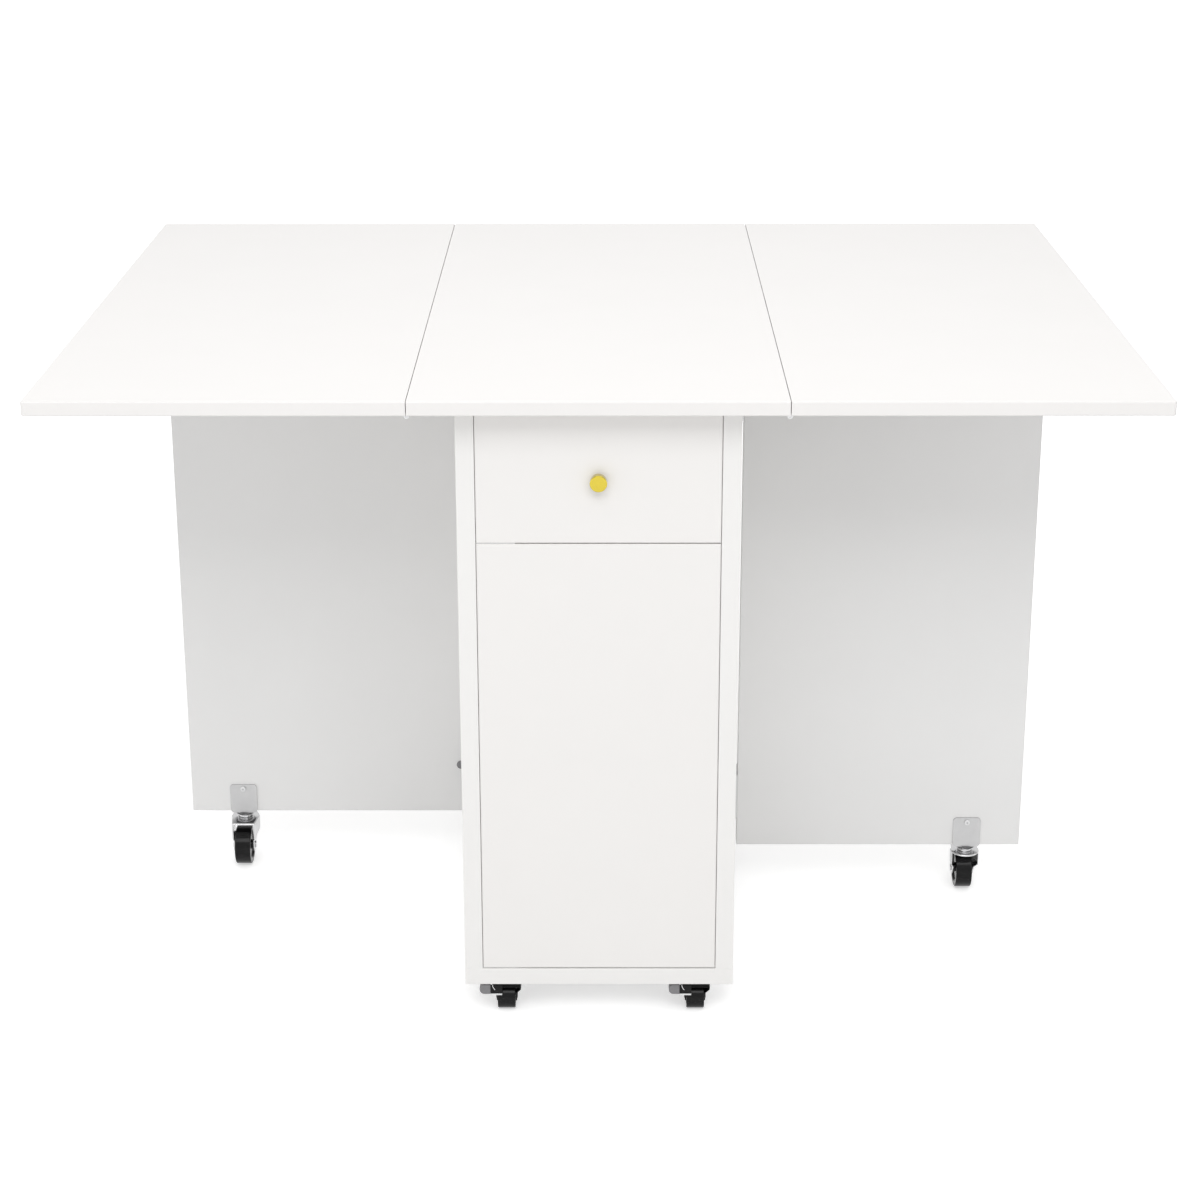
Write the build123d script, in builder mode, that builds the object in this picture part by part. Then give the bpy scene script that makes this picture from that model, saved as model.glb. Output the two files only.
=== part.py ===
import os

from build123d import *

os.makedirs("parts", exist_ok=True)

# All sizes are in millimetres. The floor is z = 0, the front faces -Y and +X is to the right.
overall_width = 1200.0
overall_depth = 850.0
overall_height = 743.0

# Board stock and how its edges are eased.
board_thick = 16.0
panel_thick = 20.0
edge_round = 1.5
corner_round = 4.0
small_round = 0.8

# Table top: a fixed centre board and a leaf each side, with an open seam between them.
centre_width = 399.1
seam_gap = 0.9
seam_x = (centre_width + seam_gap) / 2
under_top = overall_height - board_thick

# Cabinet carcass.
top_overhang = 36.0
cabinet_width = 304.0
cabinet_depth = overall_depth - 2 * top_overhang
cabinet_lift = 39.0
back_thick = 6.0
back_inset = 11.0
groove_deep = 6.0
rail_wide = 60.0
side_x = cabinet_width / 2
inner_x = side_x - panel_thick
front_y = -cabinet_depth / 2
base_top = cabinet_lift + panel_thick
back_panel_y = cabinet_depth / 2 - back_inset - back_thick

# Fronts, set between the cabinet sides and flush with their front edges.
front_side_gap = 0.5
front_bottom_gap = 1.1
front_top_gap = 2.0
front_split_gap = 1.2
front_round = 1.5
drawer_front_tall = 151.4
front_x = inner_x - front_side_gap
drawer_front_top = under_top - front_top_gap
drawer_front_bottom = drawer_front_top - drawer_front_tall
door_top = drawer_front_bottom - front_split_gap
door_bottom = base_top + front_bottom_gap
fronts_back_y = front_y + board_thick
behind_fronts = 2.0

# Shelves.
pivot_plate_thick = 1.0
divider_bottom = drawer_front_bottom - (front_split_gap - pivot_plate_thick) / 2
divider_top = divider_bottom + board_thick
shelf_bottom = base_top + 248.0
shelf_side_gap = 1.0
shelf_front_set = 18.0
shelf_pin_y = cabinet_depth / 2 - 89.0
shelf_pin_step = 64.0
shelf_pin_r = 2.5
shelf_pin_deep = 8.0
shelf_pin_head = (8.0, 10.0, 6.0)

# Drawer box on telescopic slides.
slide_long = 450.0
slide_thick = 12.7
slide_tall = 45.0
slide_steel = 1.2
box_side_thick = 12.0
box_tall = 90.0
box_lift = 10.0
box_bottom_thick = 6.0
box_bottom_lift = 6.0
box_groove = 6.0
box_x = inner_x - slide_thick
box_z = divider_top + box_lift
box_back_y = fronts_back_y + slide_long
slide_z = box_z + box_tall / 2

# Knob of the drawer.
knob_r = 9.3
knob_long = 12.0
knob_drop = 80.5
knob_screw_r = 2.0

# Door pivots and push latch.
pivot_from_edge = 20.0
pivot_from_face = 5.0
pivot_r = 2.0
pivot_deep = 10.0
pivot_x = -front_x + pivot_from_edge
pivot_y = front_y + pivot_from_face
latch_wide = 18.0
latch_tall = 16.0
latch_long = 70.0
latch_set = 8.0
plunger_r = 4.0
plunger_long = 48.0
plunger_travel = 3.0
latch_x = inner_x - 13.0
latch_z = divider_bottom - latch_tall / 2

# Radial clearance of every pin that turns or slides in a bore.
pin_clear = 0.05

# Flap hinges under the seams.
flap_hinge_y = overall_depth / 2 - 40.0
flap_hinge_places = (-flap_hinge_y, 0.0, flap_hinge_y)
flap_long = 60.0
flap_wide = 26.0
flap_thick = 2.0
flap_barrel_r = 3.0
flap_pin_r = 1.5
flap_z = under_top - flap_barrel_r

# Swinging gates. The right gate is the left one turned half round and set further forward.
gate_inner_x = side_x + 19.0
gate_outer_x = overall_width / 2 - 76.5
gate_front_y = -12.0
gate_bottom = 68.0
gate_top_gap = 10.0
gate_stagger = -101.0
gate_turn = Location((0, gate_stagger, 0), (0, 0, 180))
gate_mid_y = gate_front_y + board_thick / 2
gate_top = under_top - gate_top_gap

# Gate hinges. A bracket holds each one off the cabinet side, and its pin stands proud of the
# gate, so that the folded gate and its wheel clear the cabinet.
hinge_x = -(side_x + 17.5)
hinge_proud = 12.0
hinge_y = gate_front_y - hinge_proud
hinge_places = (gate_bottom + 65.0, gate_top - 65.0)
hinge_tall = 60.0
hinge_knuckle = 24.0
hinge_barrel_r = 4.0
hinge_pin_r = 2.0
hinge_bracket_thick = 3.0
hinge_bracket_wide = 40.0
hinge_knuckle_gap = 0.3

# Glide on top of each gate, just under the leaf.
glide_x = -(gate_outer_x - 48.5)
glide_long = 40.0
glide_wide = 14.0
glide_gap = 0.3

# Casters of the gates: saddle bracket, chromed fork and wheel.
saddle_x = -(gate_outer_x - 66.0)
saddle_wide = 34.0
saddle_thick = 2.0
saddle_round = 4.5
saddle_top = gate_bottom + 37.5
saddle_bolt_drop = 6.0
race_r = 12.5
race_tall = 2.5
bowl_r = 9.5
gate_fork_top = 58.0
gate_wheel_r = 24.5
gate_wheel_wide = 20.0
gate_trail = 16.0

# Casters of the cabinet: top plate, black fork and wheel.
caster_left_x = -(side_x - 46.2)
caster_right_x = side_x - 42.0
caster_y = cabinet_depth / 2 - 34.0
plate_size = 38.0
plate_thick = 2.0
plate_boss_r = 13.0
plate_boss_tall = 2.0
caster_fork_top = cabinet_lift - plate_thick - plate_boss_tall
caster_wheel_r = 15.0
caster_wheel_wide = 20.4
caster_trail = 15.0

# Brake lever on each front caster, on a cross pin of its fork and in the frame of that fork.
brake_pin_y = -24.0
brake_pin_z = 30.2
brake_pin_r = 1.2
brake_plate_y = -29.2
brake_plate_x = (-18.1, -4.8)
brake_plate_z = (25.0, 36.0)

# Directions in which a screw is driven.
UP = (180, 0, 0)
DOWN = (0, 0, 0)
TO_RIGHT = (0, -90, 0)
TO_LEFT = (0, 90, 0)


# A countersunk screw with its head face at the origin, driven along -Z.
def make_screw(head_r, head_tall, shank_r, length):
    with BuildPart() as made:
        with BuildSketch(Plane.XZ):
            with BuildLine():
                Polyline(
                    (0, 0),
                    (head_r, 0),
                    (shank_r, -head_tall),
                    (shank_r, shank_r - length),
                    (0, -length),
                    close=True,
                )
            make_face()
        revolve(axis=Axis.Z)
    return made.part


hinge_screw = make_screw(3.0, 1.4, 1.6, 12.0)
wood_screw = make_screw(3.8, 2.2, 1.9, 15.0)
long_screw = make_screw(4.0, 2.4, 2.0, 26.0)
slide_screw = make_screw(2.4, 1.0, 1.4, 11.0)
joint_bolt = make_screw(5.0, 3.0, 2.6, 60.0)

# Rail screws hold the centre board down on the cabinet.
rail_y = back_panel_y - rail_wide / 2
rail_front_y = fronts_back_y + behind_fronts + rail_wide / 2
rail_under = under_top - board_thick
top_screws = [
    long_screw.moved(Location((x, y, rail_under), UP))
    for x in (-60.0, 60.0)
    for y in (rail_front_y, rail_y)
]

# Screws of the flap hinges, for the centre board and for the left leaf.
flap_screw_y = flap_long / 2 - 10.0
flap_screw_x = flap_wide - 8.0
flap_screw_z = under_top - flap_thick
fixed_flap_screws = [
    hinge_screw.moved(Location((side * (seam_x - flap_screw_x), y + step, flap_screw_z), UP))
    for side in (-1, 1)
    for y in flap_hinge_places
    for step in (-flap_screw_y, flap_screw_y)
]
left_flap_screws = [
    hinge_screw.moved(Location((-seam_x - flap_screw_x, y + step, flap_screw_z), UP))
    for y in flap_hinge_places
    for step in (-flap_screw_y, flap_screw_y)
]

# Screws of the gate hinge brackets into the cabinet sides.
left_bracket_screws = [
    wood_screw.moved(Location((-side_x - hinge_bracket_thick, hinge_y + y, z + step), TO_RIGHT))
    for z in hinge_places
    for y in (-13.0, 13.0)
    for step in (-20.0, 20.0)
]
right_bracket_screws = [one.moved(gate_turn) for one in left_bracket_screws]

# Screws of the slides into the cabinet sides.
slide_start_y = fronts_back_y + behind_fronts
slide_screw_x = inner_x - slide_steel
left_slide_screws = [
    slide_screw.moved(Location((-slide_screw_x, slide_start_y + y, slide_z), TO_LEFT))
    for y in (30.0, slide_long - 50.0)
]
right_slide_screws = [
    slide_screw.moved(Location((slide_screw_x, slide_start_y + y, slide_z), TO_RIGHT))
    for y in (30.0, slide_long - 50.0)
]

# Screws of the door pivot plates and of the push latch.
plate_screw_y = fronts_back_y + behind_fronts + 9.0
top_plate_z = divider_bottom - pivot_plate_thick
bottom_plate_z = base_top + pivot_plate_thick
top_pivot_screws = [
    hinge_screw.moved(Location((pivot_x + x, plate_screw_y, top_plate_z), UP)) for x in (-7.0, 14.0)
]
bottom_pivot_screws = [
    hinge_screw.moved(Location((pivot_x + x, plate_screw_y, bottom_plate_z), DOWN))
    for x in (-7.0, 14.0)
]
latch_y = fronts_back_y + latch_set
latch_screws = [
    long_screw.moved(Location((latch_x, latch_y + latch_long - y, divider_bottom - latch_tall), UP))
    for y in (5.5, 15.5)
]

# Screws of the four caster plates.
caster_places = {
    "front_left": (caster_left_x, -caster_y),
    "front_right": (caster_right_x, -caster_y),
    "back_left": (caster_left_x, caster_y),
    "back_right": (caster_right_x, caster_y),
}
caster_screws = [
    wood_screw.moved(Location((x + dx, y + dy, cabinet_lift - plate_thick), UP))
    for x, y in caster_places.values()
    for dx in (-14.0, 14.0)
    for dy in (-14.0, 14.0)
]

# Bolts driven up through the base board into the cabinet sides.
bolt_y = cabinet_depth / 2 - 89.0
side_bolts = [
    joint_bolt.moved(Location((side * (side_x - panel_thick / 2), y, cabinet_lift), UP))
    for side in (-1, 1)
    for y in (-bolt_y, 0.0, bolt_y)
]

# Dowels between the cabinet sides and the boards across them.
dowel_r = 4.0
dowel_in_side = 10.0
dowel_in_board = 20.0
divider_dowel_y = cabinet_depth / 2 - 139.0
dowel_places = [
    (rail_front_y, under_top - board_thick / 2),
    (rail_y, under_top - board_thick / 2),
    (-divider_dowel_y, divider_bottom + board_thick / 2),
    (divider_dowel_y, divider_bottom + board_thick / 2),
]
dowels = []
for side in (-1, 1):
    for dowel_y, dowel_z in dowel_places:
        with BuildPart() as one_dowel:
            with BuildSketch(Plane.YZ.offset(side * inner_x - dowel_in_board)):
                with Locations((dowel_y, dowel_z)):
                    Circle(dowel_r)
            extrude(amount=dowel_in_board + dowel_in_side)
        shift = 0.0 if side > 0 else dowel_in_board - dowel_in_side
        dowels.append(one_dowel.part.moved(Location((shift, 0, 0))))

# Pins of the adjustable shelf, each with a flat head under the board.
shelf_pins = []
pin_wide, pin_deep, pin_tall = shelf_pin_head
for side in (-1, 1):
    for pin_y in (-shelf_pin_y, shelf_pin_y):
        with BuildPart() as one_pin:
            with BuildSketch(Plane.YZ.offset(inner_x - pin_wide)):
                with Locations((pin_y, shelf_bottom - pin_tall / 2)):
                    Rectangle(pin_deep, pin_tall)
            extrude(amount=pin_wide)
            with BuildSketch(Plane.YZ.offset(inner_x)):
                with Locations((pin_y, shelf_bottom - pin_tall / 2)):
                    Circle(shelf_pin_r)
            extrude(amount=shelf_pin_deep)
        shelf_pins.append(one_pin.part if side > 0 else one_pin.part.rotate(Axis.Z, 180))

# Centre board of the table top, eased at its front and back edges.
with BuildPart() as centre_top:
    with BuildSketch(Plane.XY.offset(under_top)):
        Rectangle(centre_width, overall_depth)
    extrude(amount=board_thick)
    fillet(centre_top.edges().filter_by(Axis.X), edge_round)
    for screw in top_screws + fixed_flap_screws:
        add(screw, mode=Mode.SUBTRACT)
centre_top.part.label = "centre_top"
export_step(centre_top.part, "parts/centre_top.step")

# Left leaf, eased all round except along the seam.
leaf_wide = overall_width / 2 - seam_x - seam_gap / 2
with BuildPart() as left_leaf:
    with BuildSketch(Plane.XY.offset(under_top)):
        with Locations((-overall_width / 2 + leaf_wide / 2, 0)):
            Rectangle(leaf_wide, overall_depth)
    extrude(amount=board_thick)
    fillet(left_leaf.edges().filter_by(Axis.Z).group_by(Axis.X)[0], corner_round)
    fillet(left_leaf.faces().sort_by(Axis.Z)[-1].edges().sort_by(Axis.X)[:-1], edge_round)
    fillet(left_leaf.faces().sort_by(Axis.Z)[0].edges().sort_by(Axis.X)[:-1], edge_round)
    for screw in left_flap_screws:
        add(screw, mode=Mode.SUBTRACT)
left_leaf.part.label = "left_leaf"
export_step(left_leaf.part, "parts/left_leaf.step")

# Right leaf, the left one turned half round.
half_turn = Location((0, 0, 0), (0, 0, 180))
with BuildPart() as right_leaf:
    add(left_leaf.part.moved(half_turn))
right_leaf.part.label = "right_leaf"
export_step(right_leaf.part, "parts/right_leaf.step")


# Cabinet side with the groove for the back panel and the holes for pins, dowels and bolts.
def make_side(side, screws):
    with BuildPart() as made:
        with BuildSketch(Plane.XY.offset(base_top)):
            with Locations((side * (side_x - panel_thick / 2), 0)):
                Rectangle(panel_thick, cabinet_depth)
        extrude(amount=under_top - base_top)
        fillet(made.edges().filter_by(Axis.Z), small_round)
        with BuildSketch(Plane.XY.offset(base_top)):
            with Locations((side * (inner_x + groove_deep / 2), back_panel_y + back_thick / 2)):
                Rectangle(groove_deep, back_thick)
        extrude(amount=under_top - base_top, mode=Mode.SUBTRACT)
        for row in (-2, -1, 0, 1, 2):
            pin_z = shelf_bottom - pin_tall / 2 + row * shelf_pin_step
            with BuildSketch(Plane.YZ.offset(inner_x)):
                with Locations((-shelf_pin_y, pin_z), (shelf_pin_y, pin_z)):
                    Circle(shelf_pin_r)
            if side > 0:
                extrude(amount=shelf_pin_deep, mode=Mode.SUBTRACT)
            else:
                holes = extrude(amount=shelf_pin_deep, mode=Mode.PRIVATE)
                add(holes.moved(Location((-2 * inner_x - shelf_pin_deep, 0, 0))), mode=Mode.SUBTRACT)
        for screw in screws + side_bolts + dowels:
            add(screw, mode=Mode.SUBTRACT)
    return made


left_side = make_side(-1, left_bracket_screws + left_slide_screws)
left_side.part.label = "left_side"
export_step(left_side.part, "parts/left_side.step")

right_side = make_side(1, right_bracket_screws + right_slide_screws)
right_side.part.label = "right_side"
export_step(right_side.part, "parts/right_side.step")

# Base board under the whole cabinet.
with BuildPart() as base_board:
    with BuildSketch(Plane.XY.offset(cabinet_lift)):
        Rectangle(cabinet_width, cabinet_depth)
    extrude(amount=panel_thick)
    fillet(base_board.edges(), small_round)
    for screw in side_bolts + caster_screws + bottom_pivot_screws:
        add(screw, mode=Mode.SUBTRACT)
base_board.part.label = "base_board"
export_step(base_board.part, "parts/base_board.step")

# Back panel, held in the grooves of the cabinet sides.
with BuildPart() as back_panel:
    with BuildSketch(Plane.XY.offset(base_top)):
        with Locations((0, back_panel_y + back_thick / 2)):
            Rectangle(2 * (inner_x + groove_deep), back_thick)
    extrude(amount=under_top - base_top)
back_panel.part.label = "back_panel"
export_step(back_panel.part, "parts/back_panel.step")

# Divider shelf between the door space and the drawer.
divider_front_y = fronts_back_y + behind_fronts
with BuildPart() as divider_shelf:
    with BuildSketch(Plane.XY.offset(divider_bottom)):
        with Locations((0, (divider_front_y + back_panel_y) / 2)):
            Rectangle(2 * inner_x, back_panel_y - divider_front_y)
    extrude(amount=board_thick)
    for screw in dowels + top_pivot_screws + latch_screws:
        add(screw, mode=Mode.SUBTRACT)
divider_shelf.part.label = "divider_shelf"
export_step(divider_shelf.part, "parts/divider_shelf.step")

# Adjustable shelf, laid on its four pins.
shelf_front_y = fronts_back_y + shelf_front_set
shelf_back_y = back_panel_y - shelf_side_gap
with BuildPart() as inner_shelf:
    with BuildSketch(Plane.XY.offset(shelf_bottom)):
        with Locations((0, (shelf_front_y + shelf_back_y) / 2)):
            Rectangle(2 * (inner_x - shelf_side_gap), shelf_back_y - shelf_front_y)
    extrude(amount=board_thick)
    fillet(inner_shelf.edges().filter_by(Axis.X).group_by(Axis.Y)[0], small_round)
inner_shelf.part.label = "inner_shelf"
export_step(inner_shelf.part, "parts/inner_shelf.step")

shelf_pin_group = Compound(label="shelf_pins", children=shelf_pins)
export_step(shelf_pin_group, "parts/shelf_pins.step")

# Two rails between the cabinet sides, right under the centre board.
with BuildPart() as top_rails:
    with BuildSketch(Plane.XY.offset(rail_under)):
        with Locations((0, rail_front_y), (0, rail_y)):
            Rectangle(2 * inner_x, rail_wide)
    extrude(amount=board_thick)
    for screw in dowels + top_screws:
        add(screw, mode=Mode.SUBTRACT)
top_rails.part.label = "top_rails"
export_step(top_rails.part, "parts/top_rails.step")

dowel_group = Compound(label="carcass_dowels", children=dowels)
export_step(dowel_group, "parts/carcass_dowels.step")

bolt_group = Compound(label="assembly_bolts", children=side_bolts)
export_step(bolt_group, "parts/assembly_bolts.step")

cabinet_screws = top_screws + fixed_flap_screws + left_bracket_screws + right_bracket_screws
cabinet_screws = cabinet_screws + left_slide_screws + right_slide_screws
cabinet_screws = cabinet_screws + top_pivot_screws + bottom_pivot_screws + latch_screws
cabinet_screws = cabinet_screws + caster_screws
screw_group = Compound(label="cabinet_screws", children=cabinet_screws)
export_step(screw_group, "parts/cabinet_screws.step")

# Flap hinges: the fixed leaf has the two end knuckles, the moving leaf the middle one.
flap_third = flap_long / 3
flap_notch = flap_barrel_r + 0.5


# One flap hinge leaf of the left seam, centred on its pin, with its plate toward the given side.
def make_flap(side, bore_r, end_knuckles):
    knuckles = (-flap_third, flap_third) if end_knuckles else (0.0,)
    notches = (0.0,) if end_knuckles else (-flap_third, flap_third)
    knuckle_long = flap_third if end_knuckles else flap_third - 2 * hinge_knuckle_gap
    with BuildPart() as made:
        with BuildSketch(Plane.XY.offset(flap_barrel_r - flap_thick)):
            with Locations((side * flap_wide / 2, 0)):
                Rectangle(flap_wide, flap_long)
            with Locations(*[(0, y) for y in notches]):
                Rectangle(2 * flap_notch, flap_third + 2 * hinge_knuckle_gap, mode=Mode.SUBTRACT)
            if not end_knuckles:
                with Locations(*[(0, y) for y in (-flap_third / 2, flap_third / 2)]):
                    Rectangle(2 * flap_notch, 2 * hinge_knuckle_gap, mode=Mode.SUBTRACT)
        extrude(amount=flap_thick)
        for y in knuckles:
            with BuildSketch(Plane.XZ.offset(-y - knuckle_long / 2)):
                Circle(flap_barrel_r)
            extrude(amount=knuckle_long)
        with BuildSketch(Plane.XZ.offset(-flap_long / 2)):
            Circle(bore_r)
        extrude(amount=flap_long, mode=Mode.SUBTRACT)
    return made.part


fixed_flap = make_flap(1, flap_pin_r, True)
moving_flap = make_flap(-1, flap_pin_r + pin_clear, False)
left_fixed_flaps = [fixed_flap.moved(Location((-seam_x, y, flap_z))) for y in flap_hinge_places]

with BuildPart() as table_hinge_fixed_leaves:
    for flap in left_fixed_flaps:
        add(flap)
        add(flap.moved(half_turn))
    for screw in fixed_flap_screws:
        add(screw, mode=Mode.SUBTRACT)
table_hinge_fixed_leaves.part.label = "table_hinge_fixed_leaves"
export_step(table_hinge_fixed_leaves.part, "parts/table_hinge_fixed_leaves.step")

with BuildPart() as left_leaf_hinge_leaves:
    for y in flap_hinge_places:
        add(moving_flap.moved(Location((-seam_x, y, flap_z))))
    for screw in left_flap_screws:
        add(screw, mode=Mode.SUBTRACT)
left_leaf_hinge_leaves.part.label = "left_leaf_hinge_leaves"
export_step(left_leaf_hinge_leaves.part, "parts/left_leaf_hinge_leaves.step")

with BuildPart() as right_leaf_hinge_leaves:
    add(left_leaf_hinge_leaves.part.moved(half_turn))
right_leaf_hinge_leaves.part.label = "right_leaf_hinge_leaves"
export_step(right_leaf_hinge_leaves.part, "parts/right_leaf_hinge_leaves.step")

left_leaf_screws = Compound(label="left_leaf_screws", children=left_flap_screws)
export_step(left_leaf_screws, "parts/left_leaf_screws.step")

turned_flap_screws = [one.moved(half_turn) for one in left_flap_screws]
right_leaf_screws = Compound(label="right_leaf_screws", children=turned_flap_screws)
export_step(right_leaf_screws, "parts/right_leaf_screws.step")

# Pins of the flap hinges and of the gate hinges.
hinge_pin_list = []
for side in (-1, 1):
    for y in flap_hinge_places:
        with BuildPart() as flap_pin:
            with BuildSketch(Plane.XZ.offset(-y - flap_long / 2)):
                with Locations((side * seam_x, flap_z)):
                    Circle(flap_pin_r)
            extrude(amount=flap_long)
        hinge_pin_list.append(flap_pin.part)
for z in hinge_places:
    with BuildPart() as gate_pin:
        with BuildSketch(Plane.XY.offset(z - hinge_tall / 2)):
            with Locations((hinge_x, hinge_y)):
                Circle(hinge_pin_r)
        extrude(amount=hinge_tall)
        with BuildSketch(Plane.XY.offset(z + hinge_tall / 2)):
            with Locations((hinge_x, hinge_y)):
                Circle(hinge_barrel_r - 1.0)
        extrude(amount=1.5)
    hinge_pin_list.append(gate_pin.part)
    hinge_pin_list.append(gate_pin.part.moved(gate_turn))
pin_group = Compound(label="hinge_pins", children=hinge_pin_list)
export_step(pin_group, "parts/hinge_pins.step")

# Brackets that hold the gate hinges off the cabinet sides.
bracket_mid_x = -side_x - hinge_bracket_thick / 2
arm_start_x = -side_x - hinge_bracket_thick
arm_notch_x = hinge_x + hinge_barrel_r + 1.0
with BuildPart() as left_brackets:
    for z in hinge_places:
        with BuildSketch(Plane.XY.offset(z - hinge_tall / 2)):
            with Locations((bracket_mid_x, hinge_y)):
                Rectangle(hinge_bracket_thick, hinge_bracket_wide)
            with Locations(((arm_start_x + hinge_x) / 2, hinge_y)):
                Rectangle(arm_start_x - hinge_x, hinge_bracket_thick)
            with Locations((hinge_x, hinge_y)):
                Circle(hinge_barrel_r)
                Circle(hinge_pin_r, mode=Mode.SUBTRACT)
        extrude(amount=hinge_tall)
        with BuildSketch(Plane.XY.offset(z - hinge_knuckle / 2)):
            with Locations((arm_notch_x - 10.0, hinge_y)):
                Rectangle(20.0, 4 * hinge_barrel_r)
        extrude(amount=hinge_knuckle, mode=Mode.SUBTRACT)
    for screw in left_bracket_screws:
        add(screw, mode=Mode.SUBTRACT)
with BuildPart() as gate_hinge_brackets:
    add(left_brackets.part)
    add(left_brackets.part.moved(gate_turn))
gate_hinge_brackets.part.label = "gate_hinge_brackets"
export_step(gate_hinge_brackets.part, "parts/gate_hinge_brackets.step")


# A pair of C channels, one each side of the drawer, given by their X and Z extents.
def make_slides(web_x, flange_x, half_tall, long):
    with BuildPart() as made:
        with BuildSketch(Plane.XZ.offset(-slide_start_y - long)):
            for side in (-1, 1):
                with Locations((side * (web_x[0] + web_x[1]) / 2, slide_z)):
                    Rectangle(web_x[1] - web_x[0], 2 * half_tall)
                for up in (-1, 1):
                    flange_z = slide_z + up * (half_tall - slide_steel / 2)
                    with Locations((side * (flange_x[0] + flange_x[1]) / 2, flange_z)):
                        Rectangle(flange_x[1] - flange_x[0], slide_steel)
        extrude(amount=long)
    return made


# Outer, middle and inner members nest with their flanges on one another.
outer_half = slide_tall / 2
middle_half = outer_half - slide_steel
inner_half = middle_half - slide_steel
slide_outer_members = make_slides(
    (inner_x - slide_steel, inner_x), (box_x + 3.0, inner_x), outer_half, slide_long
)
with slide_outer_members:
    for screw in left_slide_screws + right_slide_screws:
        add(screw, mode=Mode.SUBTRACT)
slide_outer_members.part.label = "slide_outer_members"
export_step(slide_outer_members.part, "parts/slide_outer_members.step")

middle_x = inner_x - slide_steel - 1.0
slide_middle_members = make_slides(
    (middle_x - slide_steel, middle_x), (box_x + 2.2, middle_x), middle_half, slide_long
)
slide_middle_members.part.label = "slide_middle_members"
export_step(slide_middle_members.part, "parts/slide_middle_members.step")

slide_inner_members = make_slides(
    (box_x, box_x + slide_steel), (box_x, middle_x - slide_steel - 1.0), inner_half, slide_long - 2.0
)
slide_inner_members.part.label = "slide_inner_members"
export_step(slide_inner_members.part, "parts/slide_inner_members.step")

# Pivot plates of the door: each a thin plate with a pin, the lower one with a bearing collar.
plate_front_y = front_y + 2.0
plate_back_y = plate_screw_y + 7.0
plate_left_x = -inner_x
plate_right_x = pivot_x + 22.0
plate_centre = ((plate_left_x + plate_right_x) / 2, (plate_front_y + plate_back_y) / 2)
with BuildPart() as door_pivot_plates:
    with BuildSketch(Plane.XY.offset(base_top)):
        with Locations(plate_centre):
            Rectangle(plate_right_x - plate_left_x, plate_back_y - plate_front_y)
    extrude(amount=pivot_plate_thick)
    with BuildSketch(Plane.XY.offset(bottom_plate_z)):
        with Locations((pivot_x, pivot_y)):
            Circle(2 * pivot_r)
    extrude(amount=door_bottom - bottom_plate_z)
    with BuildSketch(Plane.XY.offset(door_bottom)):
        with Locations((pivot_x, pivot_y)):
            Circle(pivot_r)
    extrude(amount=pivot_deep)
    with BuildSketch(Plane.XY.offset(top_plate_z)):
        with Locations(plate_centre):
            Rectangle(plate_right_x - plate_left_x, plate_back_y - plate_front_y)
    extrude(amount=pivot_plate_thick)
    with BuildSketch(Plane.XY.offset(door_top - pivot_deep)):
        with Locations((pivot_x, pivot_y)):
            Circle(pivot_r)
    extrude(amount=top_plate_z - door_top + pivot_deep)
    for screw in top_pivot_screws + bottom_pivot_screws:
        add(screw, mode=Mode.SUBTRACT)
door_pivot_plates.part.label = "door_pivot_plates"
export_step(door_pivot_plates.part, "parts/door_pivot_plates.step")

# Push latch under the divider shelf: a body with a plunger that the closed door rests on.
with BuildPart() as push_latch_body:
    with BuildSketch(Plane.XZ.offset(-latch_y - latch_long)):
        with Locations((latch_x, latch_z)):
            Rectangle(latch_wide, latch_tall)
    extrude(amount=latch_long)
    with BuildSketch(Plane.XZ.offset(-latch_y)):
        with Locations((latch_x, latch_z)):
            Circle(plunger_r + pin_clear)
    extrude(amount=-(plunger_long - latch_set + plunger_travel + 1.0), mode=Mode.SUBTRACT)
    for screw in latch_screws:
        add(screw, mode=Mode.SUBTRACT)
push_latch_body.part.label = "push_latch_body"
export_step(push_latch_body.part, "parts/push_latch_body.step")

with BuildPart() as latch_plunger:
    with BuildSketch(Plane.XZ.offset(-fronts_back_y - plunger_long)):
        with Locations((latch_x, latch_z)):
            Circle(plunger_r)
    extrude(amount=plunger_long)
latch_plunger.part.label = "latch_plunger"
export_step(latch_plunger.part, "parts/latch_plunger.step")

# Door panel with a bore for a pivot pin at each end.
with BuildPart() as door_panel:
    with BuildSketch(Plane.XY.offset(door_bottom)):
        with Locations((0, front_y + board_thick / 2)):
            Rectangle(2 * front_x, board_thick)
    extrude(amount=door_top - door_bottom)
    fillet(door_panel.faces().sort_by(Axis.Y)[0].edges(), front_round)
    with BuildSketch(Plane.XY.offset(door_bottom)):
        with Locations((pivot_x, pivot_y)):
            Circle(pivot_r + pin_clear)
    extrude(amount=pivot_deep + 1.0, mode=Mode.SUBTRACT)
    with BuildSketch(Plane.XY.offset(door_top - pivot_deep - 1.0)):
        with Locations((pivot_x, pivot_y)):
            Circle(pivot_r + pin_clear)
    extrude(amount=pivot_deep + 1.0, mode=Mode.SUBTRACT)
door_panel.part.label = "door_panel"
export_step(door_panel.part, "parts/door_panel.step")

# Bottom of the drawer box, held in grooves of the front, the sides and the back.
box_floor_z = box_z + box_bottom_lift
box_inner_x = box_x - box_side_thick
with BuildPart() as drawer_bottom:
    with BuildSketch(Plane.XY.offset(box_floor_z)):
        with Locations((0, (fronts_back_y + box_back_y - box_side_thick) / 2)):
            Rectangle(
                2 * (box_inner_x + box_groove),
                box_back_y - box_side_thick - fronts_back_y + 2 * box_groove,
            )
    extrude(amount=box_bottom_thick)
drawer_bottom.part.label = "drawer_bottom"
export_step(drawer_bottom.part, "parts/drawer_bottom.step")

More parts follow.
